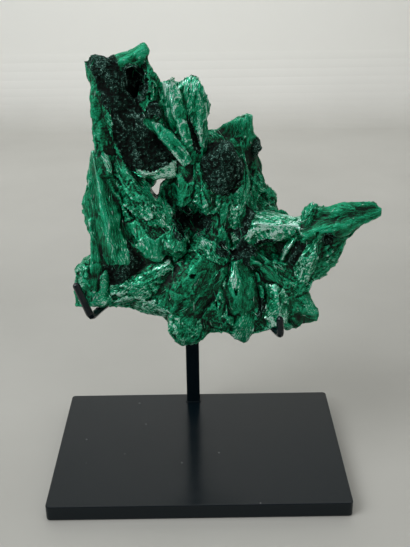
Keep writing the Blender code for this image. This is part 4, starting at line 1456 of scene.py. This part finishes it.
class Shader:
    """A material under construction, with its Principled shader."""

    def __init__(self, name: str) -> None:
        """Starts a material of this name."""
        self.material = bpy.data.materials.new(name)
        self.material.use_nodes = True
        self.tree = self.material.node_tree
        self.surface = self.tree.nodes["Principled BSDF"]

    def add(
        self, kind: str, links: dict | None = None, stops: dict | None = None, **settings: object
    ) -> bpy.types.Node:
        """Adds a node.

        Args:
            kind: The node's type, without ShaderNode.
            links: Input name or number to a value, or to an output that feeds it.
            stops: Place to hex colour, for a node that holds a band of colours.
            settings: Properties of the node.

        Returns:
            The node.
        """
        node = self.tree.nodes.new("ShaderNode" + kind)
        for key, value in settings.items():
            setattr(node, key, value)
        for number, (place, code) in enumerate((stops or {}).items()):
            band = node.color_ramp.elements
            stop = band[number] if number < 2 else band.new(place)
            stop.position, stop.color = place, colour(code)
        self.feed(node, links or {})
        return node

    def feed(self, node: bpy.types.Node, links: dict) -> None:
        """Sets or links inputs of a node.

        Args:
            node: The node.
            links: Input name or number to a value, or to an output that feeds it.
        """
        for key, value in links.items():
            if isinstance(value, bpy.types.NodeSocket):
                self.tree.links.new(value, node.inputs[key])
            else:
                node.inputs[key].default_value = value


@dataclass(frozen=True)
class FibrousMalachite:
    """Fibrous malachite, broken along its fibres: a silky sheen across deep green, streaked along the grain.

    The fields are widths and lengths of its pattern in millimetres. Real fibres are near
    0.05 mm wide, too fine to show, so they are drawn several times coarser. Glints are
    painted into its colour as painted highlights, thickest on bright forms, ridges and rims.
    """

    shade: str = "#000e08"
    dark: str = "#00351f"
    middle: str = "#006644"
    light: str = "#0a9465"
    pale: str = "#25b286"
    # Painted highlights: colours of the glints mixed into the base colour
    painted_glint_colour: str = "#62c4a2"
    glare: str = "#c9f3e5"
    fibre_mm: Pair = (0.38, 3.4)
    stroke_mm: Pair = (0.4, 1.1)
    strand_mm: Pair = (1.0, 6.0)
    grain_mm: float = 0.4

    def make(self) -> bpy.types.Material:
        """Builds the material."""
        shader = Shader("fibrous_malachite")
        marks = shader.add("UVMap", uv_map="grain").outputs[0]
        fields = []
        for width, length in (self.fibre_mm, self.stroke_mm, self.strand_mm):
            place = shader.add(
                "VectorMath", {0: marks, 1: (1 / length, 1 / width, 0)}, operation="MULTIPLY"
            )
            noisy = shader.add("TexNoise", {"Vector": place.outputs[0], "Scale": 1.0, "Detail": 2.0})
            fields.append(noisy.outputs[0])
        body = shader.add("TexCoord").outputs["Object"]
        speckle = shader.add("TexNoise", {"Vector": body, "Scale": 1 / (self.grain_mm * MM), "Detail": 2.0})
        lustre_and_painted_light, crumb, hollow = (
            shader.add("Attribute", attribute_name=name).outputs["Fac"]
            for name in ("lustre_and_painted_light", "crumb", "hollow")
        )
        hatch = shader.add("Mix", {0: crumb, 2: fields[0], 3: fields[1]}).outputs[0]
        both = shader.add("Math", {0: fields[2], 1: 0.25, 2: hatch}, operation="MULTIPLY_ADD").outputs[0]
        specks = shader.add("MapRange", {0: crumb, 1: 0.0, 2: 1.0, 3: 0.8, 4: 1.5}).outputs[0]
        centred = shader.add("Math", {0: speckle.outputs[0], 1: -0.5}, operation="ADD").outputs[0]
        tone = shader.add("Math", {0: both, 1: 2.0, 2: -0.68}, operation="MULTIPLY_ADD").outputs[0]
        # Lustre brings each form's painted light and shade into the colour, and hollows darken creases as
        # painted shade.
        for value, share in ((centred, specks), (lustre_and_painted_light, 0.7), (hollow, -1.0)):
            tone = shader.add("Math", {0: value, 1: share, 2: tone}, operation="MULTIPLY_ADD").outputs[0]
        stops = {0.0: self.shade, 0.24: self.dark, 0.5: self.middle, 0.78: self.light, 1.0: self.pale}
        green = shader.add("ValToRGB", {0: tone}, stops).outputs[0]
        # Painted glints: pale flecks mixed into the colour, densest on bright forms and on ridges and rims,
        # where the hollow is low.
        links = {0: speckle.outputs[0], 1: 0.4, 2: hatch}
        spark = shader.add("Math", links, operation="MULTIPLY_ADD").outputs[0]
        bright = -11.1
        for value, share in ((spark, 11.0), (lustre_and_painted_light, 4.2), (hollow, -3.2)):
            links = {0: value, 1: share, 2: bright}
            last = value is hollow
            bright = shader.add("Math", links, operation="MULTIPLY_ADD", use_clamp=last).outputs[0]
        mixed = shader.add("Mix", data_type="RGBA")
        painted_glint_colour = shader.add("ValToRGB", {0: bright}, {0.3: self.painted_glint_colour, 1.0: self.glare}).outputs[0]
        shader.feed(mixed, {0: bright, 6: green, 7: painted_glint_colour})
        rough = shader.add("MapRange", {0: lustre_and_painted_light, 1: 0.2, 2: 0.9, 3: 0.65, 4: 0.3}).outputs[0]
        sheen = shader.add("MapRange", {0: lustre_and_painted_light, 1: 0.2, 2: 0.9, 3: 0.0, 4: 0.6}).outputs[0]
        bump = shader.add("Bump", {"Strength": 0.7, "Distance": 0.25 * MM, "Height": both})
        way = shader.add("Tangent", direction_type="UV_MAP", uv_map="grain")
        shader.feed(
            shader.surface,
            {
                "Base Color": mixed.outputs[2],
                "Roughness": rough,
                "Metallic": sheen,
                "Normal": bump.outputs[0],
                "Tangent": way.outputs[0],
                "Anisotropic": 0.6,
                "Specular IOR Level": 0.15,
                "IOR": 1.75,
            },
        )
        return shader.material


@dataclass(frozen=True)
class VelvetCrust:
    """Velvet malachite: a felt of needles that swallows light, black-green with sparkling grains.

    The needles are near 0.02 mm wide, too fine to show, so tufts of them are drawn instead.
    The sparkle of its grains and the sheen on its felt are painted into its colour as painted
    highlights, and its hollows are darkened as painted shade.
    """

    # Darkest stop, reached where the noise is low and where hollows darken the crust as painted shade
    pit: str = "#010403"
    felt: str = "#05150f"
    # A lighter green-grey: painted sheen on the felt
    painted_sheen: str = "#0e3a2f"
    # Pale flecks: painted sparkle of the needle tips
    spark: str = "#86b3a6"
    grain_mm: float = 0.42

    def make(self) -> bpy.types.Material:
        """Builds the material."""
        shader = Shader("velvet_malachite_crust")
        place = shader.add("TexCoord").outputs["Object"]
        tone = -0.72
        bumps = None
        for size_mm, detail, share in ((self.grain_mm, 2.0, 1.5), (1.6, 2.0, 0.5), (7.0, 3.0, 0.6)):
            noisy = shader.add("TexNoise", {"Vector": place, "Scale": 1 / (size_mm * MM), "Detail": detail})
            bumps = bumps or noisy.outputs[0]
            tone = shader.add("Math", {0: noisy.outputs[0], 1: share, 2: tone}, operation="MULTIPLY_ADD")
            tone = tone.outputs[0]
        hollow = shader.add("Attribute", attribute_name="hollow").outputs["Fac"]
        # Hollows darken the crust as painted shade.
        tone = shader.add("Math", {0: hollow, 1: -0.5, 2: tone}, operation="MULTIPLY_ADD").outputs[0]
        stops = {0.1: self.pit, 0.36: self.felt, 0.62: self.painted_sheen, 0.95: self.spark}
        base = shader.add("ValToRGB", {0: tone}, stops).outputs[0]
        bump = shader.add("Bump", {"Strength": 0.8, "Distance": 0.3 * MM, "Height": bumps})
        shader.feed(
            shader.surface,
            {
                "Base Color": base,
                "Roughness": 0.8,
                "Normal": bump.outputs[0],
                "Specular IOR Level": 0.08,
                "IOR": 1.75,
            },
        )
        return shader.material


@dataclass(frozen=True)
class PowderCoat:
    """Black powder coat baked on mild steel: satin, with a faint orange peel and a little dust."""

    # The blue cast in this near-black is painted reflection, for the cool light that the coat reflects
    body: str = "#08141a"
    dust: str = "#6c6e6e"
    peel_mm: float = 0.9

    def make(self, name: str, dusty: bool) -> bpy.types.Material:
        """Builds the material.

        Args:
            name: The material's name.
            dusty: Whether dust has settled on it.

        Returns:
            The material.
        """
        shader = Shader(name)
        place = shader.add("TexCoord").outputs["Object"]
        peel = shader.add("TexNoise", {"Vector": place, "Scale": 1 / (self.peel_mm * MM), "Detail": 2.0})
        wear = shader.add("TexNoise", {"Vector": place, "Scale": 1 / (14 * MM), "Detail": 5.0})
        specks = shader.add("TexNoise", {"Vector": place, "Scale": 1 / (2.4 * MM), "Detail": 1.0})
        most = 0.9 if dusty else 0.25
        speck = shader.add("MapRange", {0: specks.outputs[0], 1: 0.8, 2: 0.82, 3: 0.0, 4: most})
        mixed = shader.add("Mix", data_type="RGBA")
        shader.feed(mixed, {0: speck.outputs[0], 6: colour(self.body), 7: colour(self.dust)})
        rough = shader.add("MapRange", {0: wear.outputs[0], 1: 0.3, 2: 0.7, 3: 0.15, 4: 0.24})
        bump = shader.add("Bump", {"Strength": 0.3, "Distance": 0.03 * MM, "Height": peel.outputs[0]})
        shader.feed(
            shader.surface,
            {
                "Base Color": mixed.outputs[2],
                "Roughness": rough.outputs[0],
                "Normal": bump.outputs[0],
                "Specular IOR Level": 0.28,
                "IOR": 1.5,
            },
        )
        return shader.material


@dataclass
class Stand:
    """The black steel stand: its solids stay, dressed, and its welds are added."""

    nodes: tuple[str, ...] = ("base_plate", "post", "left_claw", "right_claw")
    post_middle: Pair = (-2.6, 35.8)
    post_side: float = 6.0
    plate_top: float = 6.4
    wire: float = 2.8
    claw_heights: Pair = (71.0, 66.0)
    bead_radius: float = 0.6
    foot_bead_radius: float = 0.4
    bead_steps: int = 96
    bead_sides: int = 10
    ripples: int = 26
    ripple_height: float = 0.16
    foot_out: float = 0.5
    foot_up: float = 0.4
    claw_out: float = 0.4
    claw_sink: float = 0.3
    squareness: float = 3.0

    def bead(self, name: str, path: np.ndarray, size: float, rod: bpy.types.Material) -> None:
        """A weld bead: a rippled tube along a closed path, left as the torch stacked it.

        Args:
            name: The piece's name.
            path: Points round the joint, in millimetres.
            size: The tube's radius, in millimetres.
            rod: The coat that it shares with the rods.
        """
        run = np.roll(path, -1, 0) - np.roll(path, 1, 0)
        run /= np.linalg.norm(run, axis=1, keepdims=True)
        out = path - path.mean(0)
        out -= run * np.einsum("ij,ij->i", out, run)[:, None]
        out /= np.linalg.norm(out, axis=1, keepdims=True)
        up = np.cross(run, out)
        turn = np.arange(len(path)) / len(path)
        radius = size * (1 + self.ripple_height * np.abs(np.sin(math.pi * self.ripples * turn)))
        points = rings(path, out, up, radius, self.bead_sides)
        number = np.arange(len(points)).reshape(len(path), -1)
        after, beside = np.roll(number, -1, 0), np.roll(number, -1, 1)
        faces = np.stack([number, beside, np.roll(after, -1, 1), after], -1).reshape(-1, 4)
        mesh = bpy.data.meshes.new(name)
        mesh.from_pydata((points * MM).tolist(), [], faces.tolist())
        mesh.materials.append(rod)
        mesh.shade_smooth()
        piece = add_object(name, mesh)
        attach(piece, "root")
        LOG.info("%s: %d faces", name, len(faces))

    def joint(self, squareness: float, reach: float) -> np.ndarray:
        """A closed loop round a joint, in its own plane.

        Args:
            squareness: 1 for a circle, more for a loop that is nearly square.
            reach: The loop's half size.

        Returns:
            Its points.
        """
        turn = 2 * math.pi * np.arange(self.bead_steps) / self.bead_steps
        flat = np.stack([np.cos(turn), np.sin(turn)], -1)
        return reach * np.sign(flat) * np.abs(flat) ** (1 / squareness)

    def build(self) -> None:
        """Dresses the stand and welds it."""
        plate = PowderCoat().make("powder_coated_plate", True)
        rods = PowderCoat().make("powder_coated_rod", False)
        x, y = self.post_middle
        half = self.post_side / 2
        size = self.foot_bead_radius
        foot = self.joint(self.squareness, half + self.foot_out * size)
        level = np.full(len(foot), self.plate_top + self.foot_up * size)
        self.bead("post_weld", np.stack([x + foot[:, 0], y + foot[:, 1], level], -1), size, rods)
        loop = self.joint(1.0, self.wire / 2 + self.claw_out * self.bead_radius)
        for side, height, name in zip((-1, 1), self.claw_heights, ("left", "right")):
            wall = np.full(len(loop), x + side * (half + self.claw_sink * self.bead_radius))
            path = np.stack([wall, y + loop[:, 0], height + loop[:, 1]], -1)
            self.bead(name + "_claw_weld", path, self.bead_radius, rods)
        for name in self.nodes:
            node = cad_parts[name]
            node.data.materials.clear()
            node.data.materials.append(plate if name == "base_plate" else rods)
            LOG.info("%s dressed", name)


@dataclass
class Studio:
    """Floor, wall, lights and camera, none of them part of the object."""

    floor_half: float = 2.0
    wall_y: float = 0.62
    wall_top: float = 2.0
    cove: float = 0.07
    cove_steps: int = 12
    sink: float = 0.0002
    sensor_mm: float = 36
    nearest: float = 0.001
    room_light: float = 0.2

    def sweep(self) -> None:
        """A pale floor that curves up into a wall behind the object.

        Both are board rolled with matt paint, which leaves an even, faintly mottled face.
        The wall's colour is paler than the floor's: painted light, for the brighter light on it.
        """
        shader = Shader("matt_painted_board")
        place = shader.add("TexCoord").outputs["Object"]
        mottle = shader.add("TexNoise", {"Vector": place, "Scale": 9.0, "Detail": 4.0})
        stops = {0.3: "#b5b4ae", 0.7: "#bebdb7"}
        shelf = shader.add("ValToRGB", {0: mottle.outputs[0]}, stops).outputs[0]
        height = shader.add("SeparateXYZ", {0: place}).outputs[2]
        # The wall is made paler than the floor by colour: painted light.
        rise = shader.add("MapRange", {0: height, 1: 0.0, 2: self.cove}).outputs[0]
        body = shader.add("Mix", data_type="RGBA")
        shader.feed(body, {0: rise, 6: shelf, 7: colour("#f1f1ec")})
        shader.feed(shader.surface, {"Base Color": body.outputs[2], "Roughness": 0.6})
        profile = [(-self.floor_half, 0.0), (self.wall_y - self.cove, 0.0)]
        for step in range(1, self.cove_steps + 1):
            angle = math.pi / 2 * step / self.cove_steps
            y = self.wall_y - self.cove + self.cove * math.sin(angle)
            profile.append((y, self.cove * (1 - math.cos(angle))))
        profile.append((self.wall_y, self.wall_top))
        points = [(side * self.floor_half, y, z - self.sink) for y, z in profile for side in (-1, 1)]
        faces = grid_faces(len(profile), 2)
        mesh = bpy.data.meshes.new("floor")
        mesh.from_pydata(points, [], faces.tolist())
        mesh.materials.append(shader.material)
        add_object("floor", mesh)

    def light(
        self,
        name: str,
        place: Triple,
        size: float,
        watts: float,
        code: str,
        aim: Triple = (0, 0, 0.1),
        spread: float = 180,
    ) -> None:
        """A soft square light.

        Args:
            name: The light's name.
            place: Where it hangs, in metres.
            size: Its side, in metres.
            watts: Its power.
            code: Its colour.
            aim: What it points at, in metres.
            spread: How widely it shines, in degrees.
        """
        lamp = bpy.data.lights.new(name, "AREA")
        lamp.spread = math.radians(spread)
        lamp.size, lamp.energy = size, watts
        lamp.color = colour(code)[:3]
        made = add_object(name, lamp)
        made.location = place
        made.rotation_euler = (Vector(place) - Vector(aim)).to_track_quat("Z", "Y").to_euler()

    def build(self) -> None:
        """Builds the floor, the lights and the camera."""
        self.sweep()
        self.light("window", (-0.75, -0.45, 0.85), 0.7, 8.0, "#fbfdff")
        self.light("ceiling", (0.1, 0.15, 1.2), 1.1, 4.5, "#ffffff")
        self.light("room", (0.9, -0.7, 0.5), 0.9, 1.5, "#fff8ee")
        self.light("wall", (0.0, 0.2, 0.65), 0.4, 0.42, "#ffffff", (0.0, 0.62, 0.2), 90)
        world = bpy.data.worlds.new("room_light")
        bpy.context.scene.world = world
        world.use_nodes = True
        world.node_tree.nodes["Background"].inputs[0].default_value = colour("#dfe2e2")
        world.node_tree.nodes["Background"].inputs[1].default_value = self.room_light
        lens = bpy.data.cameras.new("camera")
        lens.sensor_width = self.sensor_mm
        lens.lens = FOCAL_PIXELS / IMAGE_HEIGHT * lens.sensor_width
        lens.clip_start = self.nearest
        camera = add_object("camera", lens)
        turn = Matrix.Rotation(math.radians(-YAW), 4, "Z")
        tip = Matrix.Rotation(math.radians(90 - PITCH), 4, "X")
        roll = Matrix.Rotation(math.radians(-ROLL), 4, "Z")
        camera.matrix_world = Matrix.Translation(Vector(EYE * MM)) @ turn @ tip @ roll
        bpy.context.scene.camera = camera
        bpy.context.scene.view_settings.view_transform = "Standard"


def main() -> None:
    """Builds the stone, the stand and the studio."""
    logging.basicConfig(level=logging.INFO, format="%(message)s")
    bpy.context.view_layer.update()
    stone = Stone()
    stone.build([FibrousMalachite().make(), VelvetCrust().make()])
    Stand().build()
    Studio().build()


if __name__ == "__main__":
    main()
